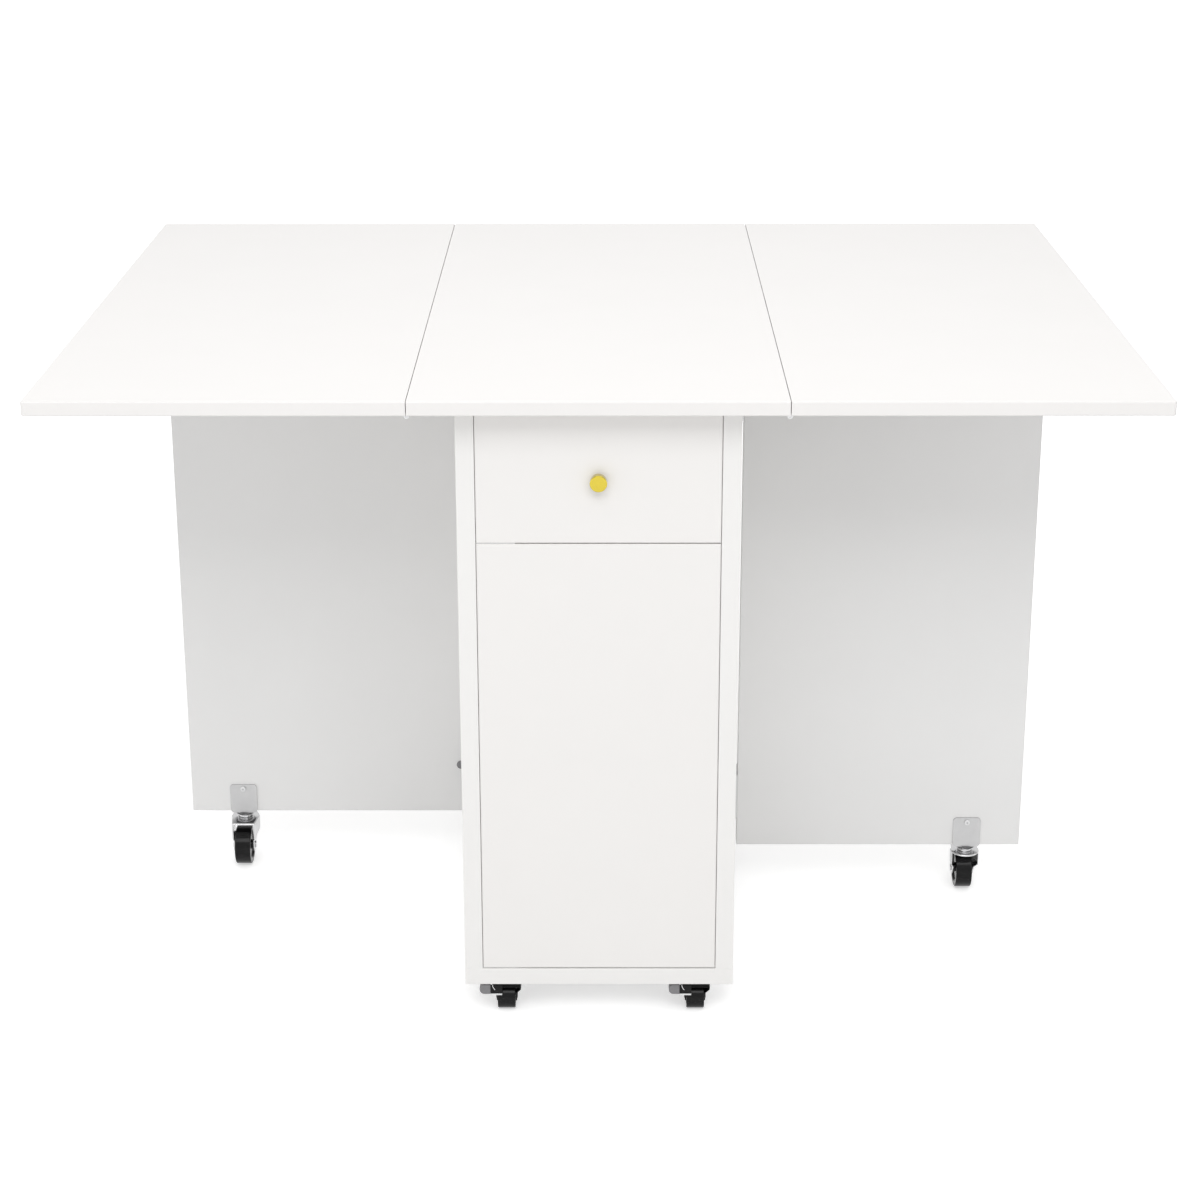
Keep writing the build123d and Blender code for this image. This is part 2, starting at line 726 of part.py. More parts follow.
# Knob, turned about its own axis, and the machine screw that holds it.
knob_z = drawer_front_top - knob_drop
knob_place = Location((0, front_y, knob_z), (90, 0, 0))
with BuildPart() as knob_turned:
    with BuildSketch(Plane.XZ):
        with BuildLine():
            Polyline(
                (0, 0),
                (6.2, 0),
                (6.2, 1.0),
                (4.2, 2.6),
                (4.2, 5.2),
                (knob_r, 8.6),
                (knob_r, knob_long),
                (0, knob_long),
                close=True,
            )
        make_face()
    revolve(axis=Axis.Z)
    fillet(knob_turned.edges().group_by(Axis.Z)[-1], 0.8)
with BuildPart() as knob_screw_turned:
    with BuildSketch(Plane.XZ):
        with BuildLine():
            Polyline(
                (0, -board_thick - 2.2),
                (4.0, -board_thick - 2.2),
                (4.0, -board_thick),
                (knob_screw_r, -board_thick),
                (knob_screw_r, 7.0),
                (0, 7.0),
                close=True,
            )
        make_face()
    revolve(axis=Axis.Z)
knob_screw = knob_screw_turned.part.moved(knob_place)
with BuildPart() as knob:
    add(knob_turned.part.moved(knob_place))
    add(knob_screw, mode=Mode.SUBTRACT)
drawer_knob = Compound(label="drawer_knob", children=[knob.part, knob_screw])
export_step(drawer_knob, "parts/drawer_knob.step")

# Drawer front.
with BuildPart() as drawer_front:
    with BuildSketch(Plane.XY.offset(drawer_front_bottom)):
        with Locations((0, front_y + board_thick / 2)):
            Rectangle(2 * front_x, board_thick)
    extrude(amount=drawer_front_tall)
    fillet(drawer_front.faces().sort_by(Axis.Y)[0].edges(), front_round)
    add(drawer_bottom.part, mode=Mode.SUBTRACT)
    add(knob_screw, mode=Mode.SUBTRACT)
drawer_front.part.label = "drawer_front"
export_step(drawer_front.part, "parts/drawer_front.step")


# Side of the drawer box.
def make_box_side(side):
    with BuildPart() as made:
        with BuildSketch(Plane.XY.offset(box_z)):
            with Locations((side * (box_x - box_side_thick / 2), (fronts_back_y + box_back_y) / 2)):
                Rectangle(box_side_thick, slide_long)
        extrude(amount=box_tall)
        fillet(made.faces().sort_by(Axis.Z)[-1].edges().filter_by(Axis.Y), small_round)
        add(drawer_bottom.part, mode=Mode.SUBTRACT)
    return made


drawer_left_side = make_box_side(-1)
drawer_left_side.part.label = "drawer_left_side"
export_step(drawer_left_side.part, "parts/drawer_left_side.step")

drawer_right_side = make_box_side(1)
drawer_right_side.part.label = "drawer_right_side"
export_step(drawer_right_side.part, "parts/drawer_right_side.step")

# Back of the drawer box, between its sides.
with BuildPart() as drawer_back:
    with BuildSketch(Plane.XY.offset(box_z)):
        with Locations((0, box_back_y - box_side_thick / 2)):
            Rectangle(2 * box_inner_x, box_side_thick)
    extrude(amount=box_tall)
    fillet(drawer_back.faces().sort_by(Axis.Z)[-1].edges().filter_by(Axis.X), small_round)
    add(drawer_bottom.part, mode=Mode.SUBTRACT)
drawer_back.part.label = "drawer_back"
export_step(drawer_back.part, "parts/drawer_back.step")

# Left gate: screws of its hinge leaves and glide, and the bolt of its saddle bracket.
gate_hinge_screws = [
    make_screw(3.0, 1.4, 1.6, 24.0).moved(Location((hinge_x, gate_mid_y, z + step), TO_LEFT))
    for z in hinge_places
    for step in (-21.0, 0.0, 21.0)
]
glide_top = under_top - glide_gap
glide_screw = long_screw.moved(Location((glide_x, gate_mid_y, glide_top - 3.5), DOWN))
with BuildPart() as saddle_bolt:
    bolt_z = saddle_top - saddle_bolt_drop
    with BuildSketch(Plane.XZ.offset(-gate_mid_y - board_thick / 2 - saddle_thick)):
        with Locations((saddle_x, bolt_z)):
            Circle(2.0)
    extrude(amount=board_thick + 2 * saddle_thick)
    bolt_reach = board_thick / 2 + saddle_thick
    for head_y in (gate_mid_y - bolt_reach, gate_mid_y + bolt_reach + 1.6):
        with BuildSketch(Plane.XZ.offset(-head_y)):
            with Locations((saddle_x, bolt_z)):
                Circle(3.6)
        extrude(amount=1.6)
    fillet(saddle_bolt.faces().sort_by(Axis.Y)[0].edges(), 1.0)
    fillet(saddle_bolt.faces().sort_by(Axis.Y)[-1].edges(), 1.0)
left_fasteners = gate_hinge_screws + [glide_screw, saddle_bolt.part]
left_gate_fasteners = Compound(label="left_gate_fasteners", children=left_fasteners)
export_step(left_gate_fasteners, "parts/left_gate_fasteners.step")

right_fasteners = [one.moved(gate_turn) for one in left_fasteners]
right_gate_fasteners = Compound(label="right_gate_fasteners", children=right_fasteners)
export_step(right_gate_fasteners, "parts/right_gate_fasteners.step")

# Gate panels.
with BuildPart() as left_gate_panel:
    with BuildSketch(Plane.XY.offset(gate_bottom)):
        with Locations((-(gate_inner_x + gate_outer_x) / 2, gate_mid_y)):
            Rectangle(gate_outer_x - gate_inner_x, board_thick)
    extrude(amount=gate_top - gate_bottom)
    fillet(left_gate_panel.faces().sort_by(Axis.Y)[0].edges(), small_round)
    fillet(left_gate_panel.faces().sort_by(Axis.Y)[-1].edges(), small_round)
    for screw in left_fasteners:
        add(screw, mode=Mode.SUBTRACT)
left_gate_panel.part.label = "left_gate_panel"
export_step(left_gate_panel.part, "parts/left_gate_panel.step")

with BuildPart() as right_gate_panel:
    add(left_gate_panel.part.moved(gate_turn))
right_gate_panel.part.label = "right_gate_panel"
export_step(right_gate_panel.part, "parts/right_gate_panel.step")

# Hinge leaves on the inner edge of each gate, with the middle knuckle.
leaf_plate_x = hinge_x - (gate_inner_x + hinge_x) / 2
leaf_plate_thick = gate_inner_x + hinge_x
leaf_plate_start = hinge_y + hinge_barrel_r + 0.5
leaf_plate_end = gate_front_y + board_thick - small_round
with BuildPart() as left_gate_hinge_leaves:
    for z in hinge_places:
        with BuildSketch(Plane.XY.offset(z - hinge_tall / 2)):
            with Locations((leaf_plate_x, (leaf_plate_start + leaf_plate_end) / 2)):
                Rectangle(leaf_plate_thick, leaf_plate_end - leaf_plate_start)
        extrude(amount=hinge_tall)
        with BuildSketch(Plane.XY.offset(z - hinge_knuckle / 2)):
            with Locations((hinge_x, hinge_y)):
                Circle(hinge_barrel_r)
            with Locations((leaf_plate_x, (hinge_y + leaf_plate_end) / 2)):
                Rectangle(leaf_plate_thick, leaf_plate_end - hinge_y)
            with Locations((hinge_x, hinge_y)):
                Circle(hinge_pin_r + pin_clear, mode=Mode.SUBTRACT)
        extrude(amount=hinge_knuckle - hinge_knuckle_gap)
    for screw in gate_hinge_screws:
        add(screw, mode=Mode.SUBTRACT)
left_gate_hinge_leaves.part.label = "left_gate_hinge_leaves"
export_step(left_gate_hinge_leaves.part, "parts/left_gate_hinge_leaves.step")

with BuildPart() as right_gate_hinge_leaves:
    add(left_gate_hinge_leaves.part.moved(gate_turn))
right_gate_hinge_leaves.part.label = "right_gate_hinge_leaves"
export_step(right_gate_hinge_leaves.part, "parts/right_gate_hinge_leaves.step")

# Round cap on the front face of the left gate, by its lower hinge.
with BuildPart() as hinge_cap:
    with BuildSketch(Plane.XZ.offset(-gate_front_y)):
        with Locations((-gate_inner_x - 6.3, hinge_places[0])):
            Circle(5.5)
    extrude(amount=1.6)
    fillet(hinge_cap.faces().sort_by(Axis.Y)[0].edges(), 0.6)
hinge_cap.part.label = "hinge_cap"
export_step(hinge_cap.part, "parts/hinge_cap.step")

# Glide on the top edge of each gate.
with BuildPart() as left_gate_glide:
    with BuildSketch(Plane.XY.offset(gate_top)):
        with Locations((glide_x, gate_mid_y)):
            RectangleRounded(glide_long, glide_wide, glide_wide / 2 - 1.0)
    extrude(amount=glide_top - gate_top)
    fillet(left_gate_glide.faces().sort_by(Axis.Z)[-1].edges(), 1.5)
    with BuildSketch(Plane.XY.offset(glide_top - 3.5)):
        with Locations((glide_x, gate_mid_y)):
            Circle(4.0)
    extrude(amount=3.5, mode=Mode.SUBTRACT)
    add(glide_screw, mode=Mode.SUBTRACT)
left_gate_glide.part.label = "left_gate_glide"
export_step(left_gate_glide.part, "parts/left_gate_glide.step")

with BuildPart() as right_gate_glide:
    add(left_gate_glide.part.moved(gate_turn))
right_gate_glide.part.label = "right_gate_glide"
export_step(right_gate_glide.part, "parts/right_gate_glide.step")

# Saddle bracket round the bottom edge of each gate, with the cup that the fork turns in.
kingpin_r = 4.0
saddle_out_front = gate_front_y - saddle_thick
saddle_out_back = gate_front_y + board_thick + saddle_thick
saddle_under = gate_bottom - saddle_thick
with BuildPart() as left_gate_saddle:
    with BuildSketch(Plane.YZ.offset(saddle_x - saddle_wide / 2)):
        with BuildLine():
            Polyline(
                (saddle_out_front, saddle_under),
                (saddle_out_front, saddle_top),
                (gate_front_y, saddle_top),
                (gate_front_y, gate_bottom),
                (gate_front_y + board_thick, gate_bottom),
                (gate_front_y + board_thick, saddle_top),
                (saddle_out_back, saddle_top),
                (saddle_out_back, saddle_under),
                close=True,
            )
        make_face()
    extrude(amount=saddle_wide)
    with BuildSketch(Plane.XZ.offset(-saddle_out_back)):
        with Locations((saddle_x, (saddle_under + saddle_top) / 2)):
            RectangleRounded(saddle_wide, saddle_top - saddle_under, saddle_round)
    extrude(amount=saddle_out_back - saddle_out_front, mode=Mode.INTERSECT)
    with BuildSketch(Plane.XY.offset(saddle_under - race_tall)):
        with Locations((saddle_x, gate_mid_y)):
            Circle(race_r)
    extrude(amount=race_tall)
    with BuildSketch(Plane.XY.offset(gate_fork_top)):
        with Locations((saddle_x, gate_mid_y)):
            Circle(bowl_r)
    extrude(amount=saddle_under - race_tall - gate_fork_top)
    with BuildSketch(Plane.XY.offset(gate_fork_top)):
        with Locations((saddle_x, gate_mid_y)):
            Circle(kingpin_r + pin_clear)
    extrude(amount=gate_bottom - gate_fork_top, mode=Mode.SUBTRACT)
    add(saddle_bolt.part, mode=Mode.SUBTRACT)
left_gate_saddle.part.label = "left_gate_saddle"
export_step(left_gate_saddle.part, "parts/left_gate_saddle.step")

with BuildPart() as right_gate_saddle:
    add(left_gate_saddle.part.moved(gate_turn))
right_gate_saddle.part.label = "right_gate_saddle"
export_step(right_gate_saddle.part, "parts/right_gate_saddle.step")

# Top plates of the cabinet casters, each with a boss that the fork turns under.
with BuildPart() as caster_plates:
    for x, y in caster_places.values():
        with BuildSketch(Plane.XY.offset(cabinet_lift - plate_thick)):
            with Locations((x, y)):
                RectangleRounded(plate_size, plate_size, 4.0)
        extrude(amount=plate_thick)
        with BuildSketch(Plane.XY.offset(caster_fork_top)):
            with Locations((x, y)):
                Circle(plate_boss_r)
        extrude(amount=plate_boss_tall)
        with BuildSketch(Plane.XY.offset(caster_fork_top)):
            with Locations((x, y)):
                Circle(kingpin_r + pin_clear)
        extrude(amount=plate_thick + plate_boss_tall, mode=Mode.SUBTRACT)
    for screw in caster_screws:
        add(screw, mode=Mode.SUBTRACT)
caster_plates.part.label = "caster_plates"
export_step(caster_plates.part, "parts/caster_plates.step")


# A bent fork about its own swivel axis, with the wheel trailing toward -Y, and its axle. Its top
# is given by its half width at the swivel axis, and by the reach and half width of its front edge.
def make_fork(top_z, half, front, axle_half, steel, axle_z, trail, boss_r, axle_r, head_tall, pin_top):
    front_reach, front_half = front
    end_z = axle_z - boss_r
    straight_z = axle_z + boss_r
    taper_z = straight_z + 6.5
    with BuildPart() as made:
        with BuildSketch(Plane.YZ.offset(-half)):
            with Locations((-trail, axle_z)):
                Circle(boss_r)
            with Locations(((half - front_reach) / 2, top_z - steel)):
                Rectangle(front_reach + half, 2 * steel)
            make_hull()
        extrude(amount=2 * half)
        with BuildSketch(Plane.XZ.offset(-2 * half)):
            with BuildLine():
                Polyline(
                    (-half, top_z),
                    (-half, taper_z),
                    (-axle_half, straight_z),
                    (-axle_half, end_z),
                    (axle_half, end_z),
                    (axle_half, straight_z),
                    (half, taper_z),
                    (half, top_z),
                    close=True,
                )
            make_face()
        extrude(amount=6 * half, mode=Mode.INTERSECT)
        with BuildSketch(Plane.XY.offset(end_z)):
            Circle(half)
            with BuildLine():
                Polyline(
                    (-half, 0),
                    (-front_half, -front_reach),
                    (front_half, -front_reach),
                    (half, 0),
                    close=True,
                )
            make_face()
        extrude(amount=top_z - end_z, mode=Mode.INTERSECT)
        fillet(made.faces().sort_by(Axis.Z)[-1].edges(), 0.8 * steel)
    with BuildPart() as cavity:
        with BuildSketch(Plane.XZ.offset(-2 * half)):
            with BuildLine():
                Polyline(
                    (-half + steel, top_z - steel),
                    (-half + steel, taper_z),
                    (-axle_half + steel, straight_z),
                    (-axle_half + steel, end_z - 1.0),
                    (axle_half - steel, end_z - 1.0),
                    (axle_half - steel, straight_z),
                    (half - steel, taper_z),
                    (half - steel, top_z - steel),
                    close=True,
                )
            make_face()
        extrude(amount=6 * half)
        with BuildSketch(Plane.XY.offset(end_z - 2.0)):
            with BuildLine():
                Polyline(
                    (-half + steel, 2 * half),
                    (-half + steel, 0),
                    (-front_half + steel, -front_reach),
                    (-front_half + steel, -2 * front_reach),
                    (front_half - steel, -2 * front_reach),
                    (front_half - steel, -front_reach),
                    (half - steel, 0),
                    (half - steel, 2 * half),
                    close=True,
                )
            make_face()
        extrude(amount=top_z, mode=Mode.INTERSECT)
    with made:
        add(cavity.part, mode=Mode.SUBTRACT)
        with BuildSketch(Plane.XY.offset(top_z - steel)):
            Circle(kingpin_r)
        extrude(amount=pin_top - top_z + steel)
    with BuildPart() as axle:
        with BuildSketch(Plane.YZ.offset(-axle_half)):
            with Locations((-trail, axle_z)):
                Circle(axle_r)
        extrude(amount=2 * axle_half)
        for head_x in (-axle_half - head_tall, axle_half):
            with BuildSketch(Plane.YZ.offset(head_x)):
                with Locations((-trail, axle_z)):
                    Circle(axle_r + 1.5)
            extrude(amount=head_tall)
    with made:
        add(axle.part, mode=Mode.SUBTRACT)
    return [made.part, axle.part]


# A wheel about the X axis, with hub ends that meet the fork.
def make_wheel(radius, half_wide, hub_half, axle_r, rim):
    with BuildPart() as made:
        with BuildSketch(Plane.XZ):
            with BuildLine():
                Polyline(
                    (-half_wide, radius),
                    (half_wide, radius),
                    (half_wide, radius - rim),
                    (half_wide - 2.0, radius - rim),
                    (half_wide - 2.0, axle_r + 2.5),
                    (hub_half, axle_r + 2.5),
                    (hub_half, axle_r + pin_clear),
                    (-hub_half, axle_r + pin_clear),
                    (-hub_half, axle_r + 2.5),
                    (2.0 - half_wide, axle_r + 2.5),
                    (2.0 - half_wide, radius - rim),
                    (-half_wide, radius - rim),
                    close=True,
                )
            make_face()
            fillet(vertices().group_by(Axis.Y)[-1], rim / 2)
        revolve(axis=Axis.X)
    return made.part


# Forks and wheels of the gates.
gate_axle_half = 13.5
gate_axle_r = 3.0
gate_fork = make_fork(
    gate_fork_top,
    18.0,
    (26.0, 14.5),
    gate_axle_half,
    2.0,
    gate_wheel_r,
    gate_trail,
    9.0,
    gate_axle_r,
    1.2,
    gate_bottom - 0.5,
)
gate_wheel = make_wheel(
    gate_wheel_r, gate_wheel_wide / 2, gate_axle_half - 2.0, gate_axle_r, 6.0
)
left_fork_place = Location((saddle_x, gate_mid_y, 0))
left_fork_pieces = [one.moved(left_fork_place) for one in gate_fork]
left_gate_fork = Compound(label="left_gate_fork", children=left_fork_pieces)
export_step(left_gate_fork, "parts/left_gate_fork.step")

right_fork_pieces = [one.moved(gate_turn) for one in left_fork_pieces]
right_gate_fork = Compound(label="right_gate_fork", children=right_fork_pieces)
export_step(right_gate_fork, "parts/right_gate_fork.step")

with BuildPart() as left_gate_wheel:
    add(gate_wheel.moved(Location((saddle_x, gate_mid_y - gate_trail, gate_wheel_r))))
left_gate_wheel.part.label = "left_gate_wheel"
export_step(left_gate_wheel.part, "parts/left_gate_wheel.step")

with BuildPart() as right_gate_wheel:
    add(left_gate_wheel.part.moved(gate_turn))
right_gate_wheel.part.label = "right_gate_wheel"
export_step(right_gate_wheel.part, "parts/right_gate_wheel.step")

# Forks, wheels and brake levers of the cabinet casters.
caster_axle_half = 11.7
caster_axle_r = 2.5
caster_steel = 1.2
caster_half = 17.0
caster_fork = make_fork(
    caster_fork_top,
    caster_half,
    (28.5, 16.5),
    caster_axle_half,
    caster_steel,
    caster_wheel_r,
    caster_trail,
    7.0,
    caster_axle_r,
    0.6,
    cabinet_lift - 0.5,
)
caster_wheel = make_wheel(
    caster_wheel_r, caster_wheel_wide / 2, caster_axle_half - caster_steel, caster_axle_r, 5.0
)

# Cross pin of a front fork, and the lever on it: a pad over the tread, a plate and a side tab.
pin_half = caster_half - caster_steel
with BuildPart() as braked_fork:
    add(caster_fork[0])
    with BuildSketch(Plane.YZ.offset(-pin_half)):
        with Locations((brake_pin_y, brake_pin_z)):
            Circle(brake_pin_r)
    extrude(amount=2 * pin_half)
brake_plate_mid_z = (brake_plate_z[0] + brake_plate_z[1]) / 2
with BuildPart() as brake_lever:
    with BuildSketch(Plane.YZ.offset(-13.0)):
        with Locations((brake_pin_y, brake_pin_z)):
            Circle(2.2)
        with Locations(((brake_plate_y - 25.75) / 2, 29.6)):
            Rectangle(-25.75 - brake_plate_y, 6.1)
        make_hull()
    extrude(amount=8.0)
    with BuildSketch(Plane.XZ.offset(-brake_plate_y)):
        with Locations(((brake_plate_x[0] + brake_plate_x[1]) / 2, brake_plate_mid_z)):
            Rectangle(brake_plate_x[1] - brake_plate_x[0], brake_plate_z[1] - brake_plate_z[0])
    extrude(amount=1.8)
    with BuildSketch(Plane.XZ.offset(-brake_plate_y + 1.0)):
        with Locations(((brake_plate_x[0] + brake_plate_x[1]) / 2, brake_plate_z[0] - 0.5)):
            Rectangle(brake_plate_x[1] - brake_plate_x[0], 3.0)
    extrude(amount=0.8)
    with BuildSketch(Plane.XZ.offset(22.0)):
        with Locations((brake_plate_x[0] - 6.5, 30.4)):
            RectangleRounded(12.0, 12.0, 5.5)
        with Locations((brake_plate_x[0] - 3.0, 30.4)):
            Rectangle(6.0, 12.0)
    extrude(amount=9.0)
    with BuildSketch(Plane.YZ.offset(-14.0)):
        with Locations((brake_pin_y, brake_pin_z)):
            Circle(brake_pin_r + pin_clear)
    extrude(amount=10.0, mode=Mode.SUBTRACT)

for caster_name, (caster_x, caster_at_y) in caster_places.items():
    braked = caster_name.startswith("front")
    fork = braked_fork.part if braked else caster_fork[0]
    caster_spot = Location((caster_x, caster_at_y, 0))
    fork_pieces = [one.moved(caster_spot) for one in (fork, caster_fork[1])]
    fork_group = Compound(label=caster_name + "_fork", children=fork_pieces)
    export_step(fork_group, "parts/" + caster_name + "_fork.step")
    wheel = caster_wheel.moved(Location((caster_x, caster_at_y - caster_trail, caster_wheel_r)))
    wheel.label = caster_name + "_wheel"
    export_step(wheel, "parts/" + caster_name + "_wheel.step")
    if braked:
        lever = brake_lever.part.moved(caster_spot)
        lever.label = caster_name + "_brake"
        export_step(lever, "parts/" + caster_name + "_brake.step")
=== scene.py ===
import math

import bpy
from mathutils import Matrix, Vector


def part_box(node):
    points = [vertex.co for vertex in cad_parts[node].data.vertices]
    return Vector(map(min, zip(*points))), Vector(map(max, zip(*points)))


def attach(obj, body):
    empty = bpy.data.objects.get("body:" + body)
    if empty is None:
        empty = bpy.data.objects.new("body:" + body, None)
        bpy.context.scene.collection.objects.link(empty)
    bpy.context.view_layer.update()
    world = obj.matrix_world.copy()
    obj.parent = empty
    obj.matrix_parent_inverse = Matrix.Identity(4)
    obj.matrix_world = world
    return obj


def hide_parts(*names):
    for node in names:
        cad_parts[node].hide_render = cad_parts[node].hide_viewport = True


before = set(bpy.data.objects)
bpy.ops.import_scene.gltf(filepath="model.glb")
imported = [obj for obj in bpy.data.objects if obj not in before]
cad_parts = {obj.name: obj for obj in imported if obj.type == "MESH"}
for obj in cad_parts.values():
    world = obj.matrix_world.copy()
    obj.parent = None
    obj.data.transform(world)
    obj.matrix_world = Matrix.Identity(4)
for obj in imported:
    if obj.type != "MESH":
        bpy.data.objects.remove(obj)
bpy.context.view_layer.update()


# Cabinet boards. They are 16 and 20 mm chipboard faced with white melamine, sawn to size and
# edged with a thin white band. Dowels, bolts and the grooved back hold them together.
class Wire:
    """An output of a material's nodes, so that sums and products of patterns read as such."""

    def __init__(self, tree, socket):
        self.tree = tree
        self.socket = socket

    def add_node(self, kind, settings, inputs, output=0):
        """A new node in the same material: its settings first, then its inputs' values or links."""
        node = self.tree.nodes.new(kind)
        for setting, value in settings.items():
            setattr(node, setting, value)
        for slot, value in inputs.items():
            if isinstance(value, Wire):
                self.tree.links.new(value.socket, node.inputs[slot])
            else:
                node.inputs[slot].default_value = value
        return Wire(self.tree, node.outputs[output])

    def work_out(self, operation, *values):
        return self.add_node("ShaderNodeMath", {"operation": operation}, dict(enumerate(values)))

    def __add__(self, other):
        return self.work_out("ADD", self, other)

    def __radd__(self, other):
        return self.work_out("ADD", other, self)

    def __mul__(self, other):
        return self.work_out("MULTIPLY", self, other)

    def __rmul__(self, other):
        return self.work_out("MULTIPLY", other, self)


def start_material(name):
    """A new material, its surface shader, and its place pattern in metres from the floor's centre."""
    material = bpy.data.materials.new(name)
    material.use_nodes = True
    tree = material.node_tree
    surface = tree.nodes["Principled BSDF"]
    coordinates = tree.nodes.new("ShaderNodeTexCoord")
    return material, surface, Wire(tree, coordinates.outputs["Object"])


def blotches(place, size, detail=2.0):
    """Soft noise from 0 to 1 whose patches are about the given size in metres."""
    settings = {"noise_dimensions": "3D"}
    inputs = {"Vector": place, "Scale": 1.0 / size, "Detail": detail}
    return place.add_node("ShaderNodeTexNoise", settings, inputs)


def tint(place, mask, first, second):
    """The first colour where the mask is 0 and the second where it is 1."""
    first, second = (shade if isinstance(shade, Wire) else (*shade, 1.0) for shade in (first, second))
    mask_in, first_in, second_in, colour_out = 0, 6, 7, 2
    inputs = {mask_in: mask, first_in: first, second_in: second}
    return place.add_node("ShaderNodeMix", {"data_type": "RGBA"}, inputs, colour_out)


def feed(surface, name, wire):
    """Links a pattern to one of the surface's inputs."""
    wire.tree.links.new(wire.socket, surface.inputs[name])


def emboss(surface, height, strength, distance):
    """Raises the surface by a height pattern."""
    inputs = {"Height": height, "Strength": strength, "Distance": distance}
    feed(surface, "Normal", height.add_node("ShaderNodeBump", {}, inputs))


def band_joints(place, joints):
    """1 along the thin joint of face and edge band, at each (axis, distance from the middle)."""
    half_joint = 0.00012
    lines = []
    for axis, distance in joints:
        along = place.add_node("ShaderNodeSeparateXYZ", {}, {0: place}, axis)
        lines.append(along.work_out("COMPARE", along.work_out("ABSOLUTE", along), distance, half_joint))
    return sum(lines[1:], lines[0])


def melamine(name, colour, shaded, gloss, joints=()):
    """White melamine: a pressed pearl texture, faint clouding and a satin sheen that varies a little."""
    material, surface, place = start_material(name)
    cloud = blotches(place, size=0.09, detail=3.0)
    pearl = blotches(place, size=0.0016, detail=1.0)
    shade = tint(place, cloud, colour, shaded)
    if joints:
        joint_colour = tuple(0.82 * part for part in colour)
        shade = tint(place, band_joints(place, joints), shade, joint_colour)
    feed(surface, "Base Color", shade)
    feed(surface, "Roughness", gloss + 0.08 * cloud + 0.05 * pearl)
    emboss(surface, pearl, strength=0.08, distance=0.0002)
    surface.inputs["Specular IOR Level"].default_value = 0.35
    return material


def finish_nodes(material, *names):
    """Gives the CAD solids of those names their material."""
    for name in names:
        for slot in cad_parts[name].material_slots:
            slot.material = material


across, deep, upright = range(3)
band_thick = 0.001
cabinet_front = -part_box("left_side")[0][deep]
cabinet_white = melamine(
    "cabinet melamine",
    colour=(0.89, 0.881, 0.866),
    shaded=(0.875, 0.867, 0.853),
    gloss=0.4,
    joints=[(deep, cabinet_front - band_thick)],
)
finish_nodes(
    cabinet_white,
    "left_side",
    "right_side",
    "base_board",
    "back_panel",
    "divider_shelf",
    "inner_shelf",
    "top_rails",
)

# Fronts of the drawer and the door. They are cut from the same board, with banded edges all
# round, and their colour is painted a shade greyer than the cabinet's edges beside them, as painted
# shade on faces turned flat to the camera.
front_joints = [(across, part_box("door_panel")[1][across] - band_thick)]
for front in ("door_panel", "drawer_front"):
    front_low, front_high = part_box(front)
    front_joints.append((upright, front_low[upright] + band_thick))
    front_joints.append((upright, front_high[upright] - band_thick))
front_painted_shade = melamine(
    "front melamine painted shade",
    colour=(0.885, 0.869, 0.853),
    shaded=(0.872, 0.857, 0.841),
    gloss=0.42,
    joints=front_joints,
)
finish_nodes(front_painted_shade, "drawer_front", "door_panel")

# Table top and leaves. The same board with a brighter, smoother face and a rounded band
# along its outer edges.
top_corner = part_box("right_leaf")[1]
top_white = melamine(
    "top melamine",
    colour=(0.87, 0.855, 0.842),
    shaded=(0.858, 0.843, 0.83),
    gloss=0.36,
    joints=[(across, top_corner[across] - band_thick), (deep, top_corner[deep] - band_thick)],
)
finish_nodes(top_white, "centre_top", "left_leaf", "right_leaf")

# Gates. Two plain boards, faced and banded like the cabinet, that swing out under the leaves.
# Each hangs on two hinges at the cabinet's side and rolls on a caster at its outer end.
# Their colour is painted a shade greyer than the cabinet's: painted shade for the shade that falls on
# them under the leaves.
gate_low, gate_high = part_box("left_gate_panel")
gate_painted_shade = melamine(
    "gate melamine painted shade",
    colour=(0.845, 0.842, 0.836),
    shaded=(0.83, 0.827, 0.821),
    gloss=0.45,
    joints=[
        (across, -gate_low[across] - band_thick),
        (upright, gate_low[upright] + band_thick),
        (upright, gate_high[upright] - band_thick),
    ],
)
finish_nodes(gate_painted_shade, "left_gate_panel", "right_gate_panel")

# Drawer box. Thin boards wrapped in white foil, which is smoother than melamine. The bottom is
# held in grooves of the front, the sides and the back.
foil_white = melamine("drawer foil", colour=(0.84, 0.84, 0.835), shaded=(0.825, 0.825, 0.82), gloss=0.5)
finish_nodes(foil_white, "drawer_left_side", "drawer_right_side", "drawer_back", "drawer_bottom")


# Dowels. Turned beech pegs with the grain along them, glued into the cabinet sides and into
# the ends of the rails and the divider shelf.
def stretched(place, scale):
    """The place pattern, scaled so that noise on it turns into fine lines."""
    inputs = {"Vector": place, "Scale": scale}
    return place.add_node("ShaderNodeMapping", {"vector_type": "POINT"}, inputs)


def beech_wood():
    """Straight grained beech with short dark flecks."""
    material, surface, place = start_material("beech")
    grain = blotches(stretched(place, (60.0, 900.0, 900.0)), size=1.0, detail=4.0)
    feed(surface, "Base Color", tint(place, grain, (0.62, 0.42, 0.24), (0.48, 0.30, 0.15)))
    feed(surface, "Roughness", 0.5 + 0.2 * grain)
    emboss(surface, grain, strength=0.2, distance=0.0002)
    return material


finish_nodes(beech_wood(), "carcass_dowels")


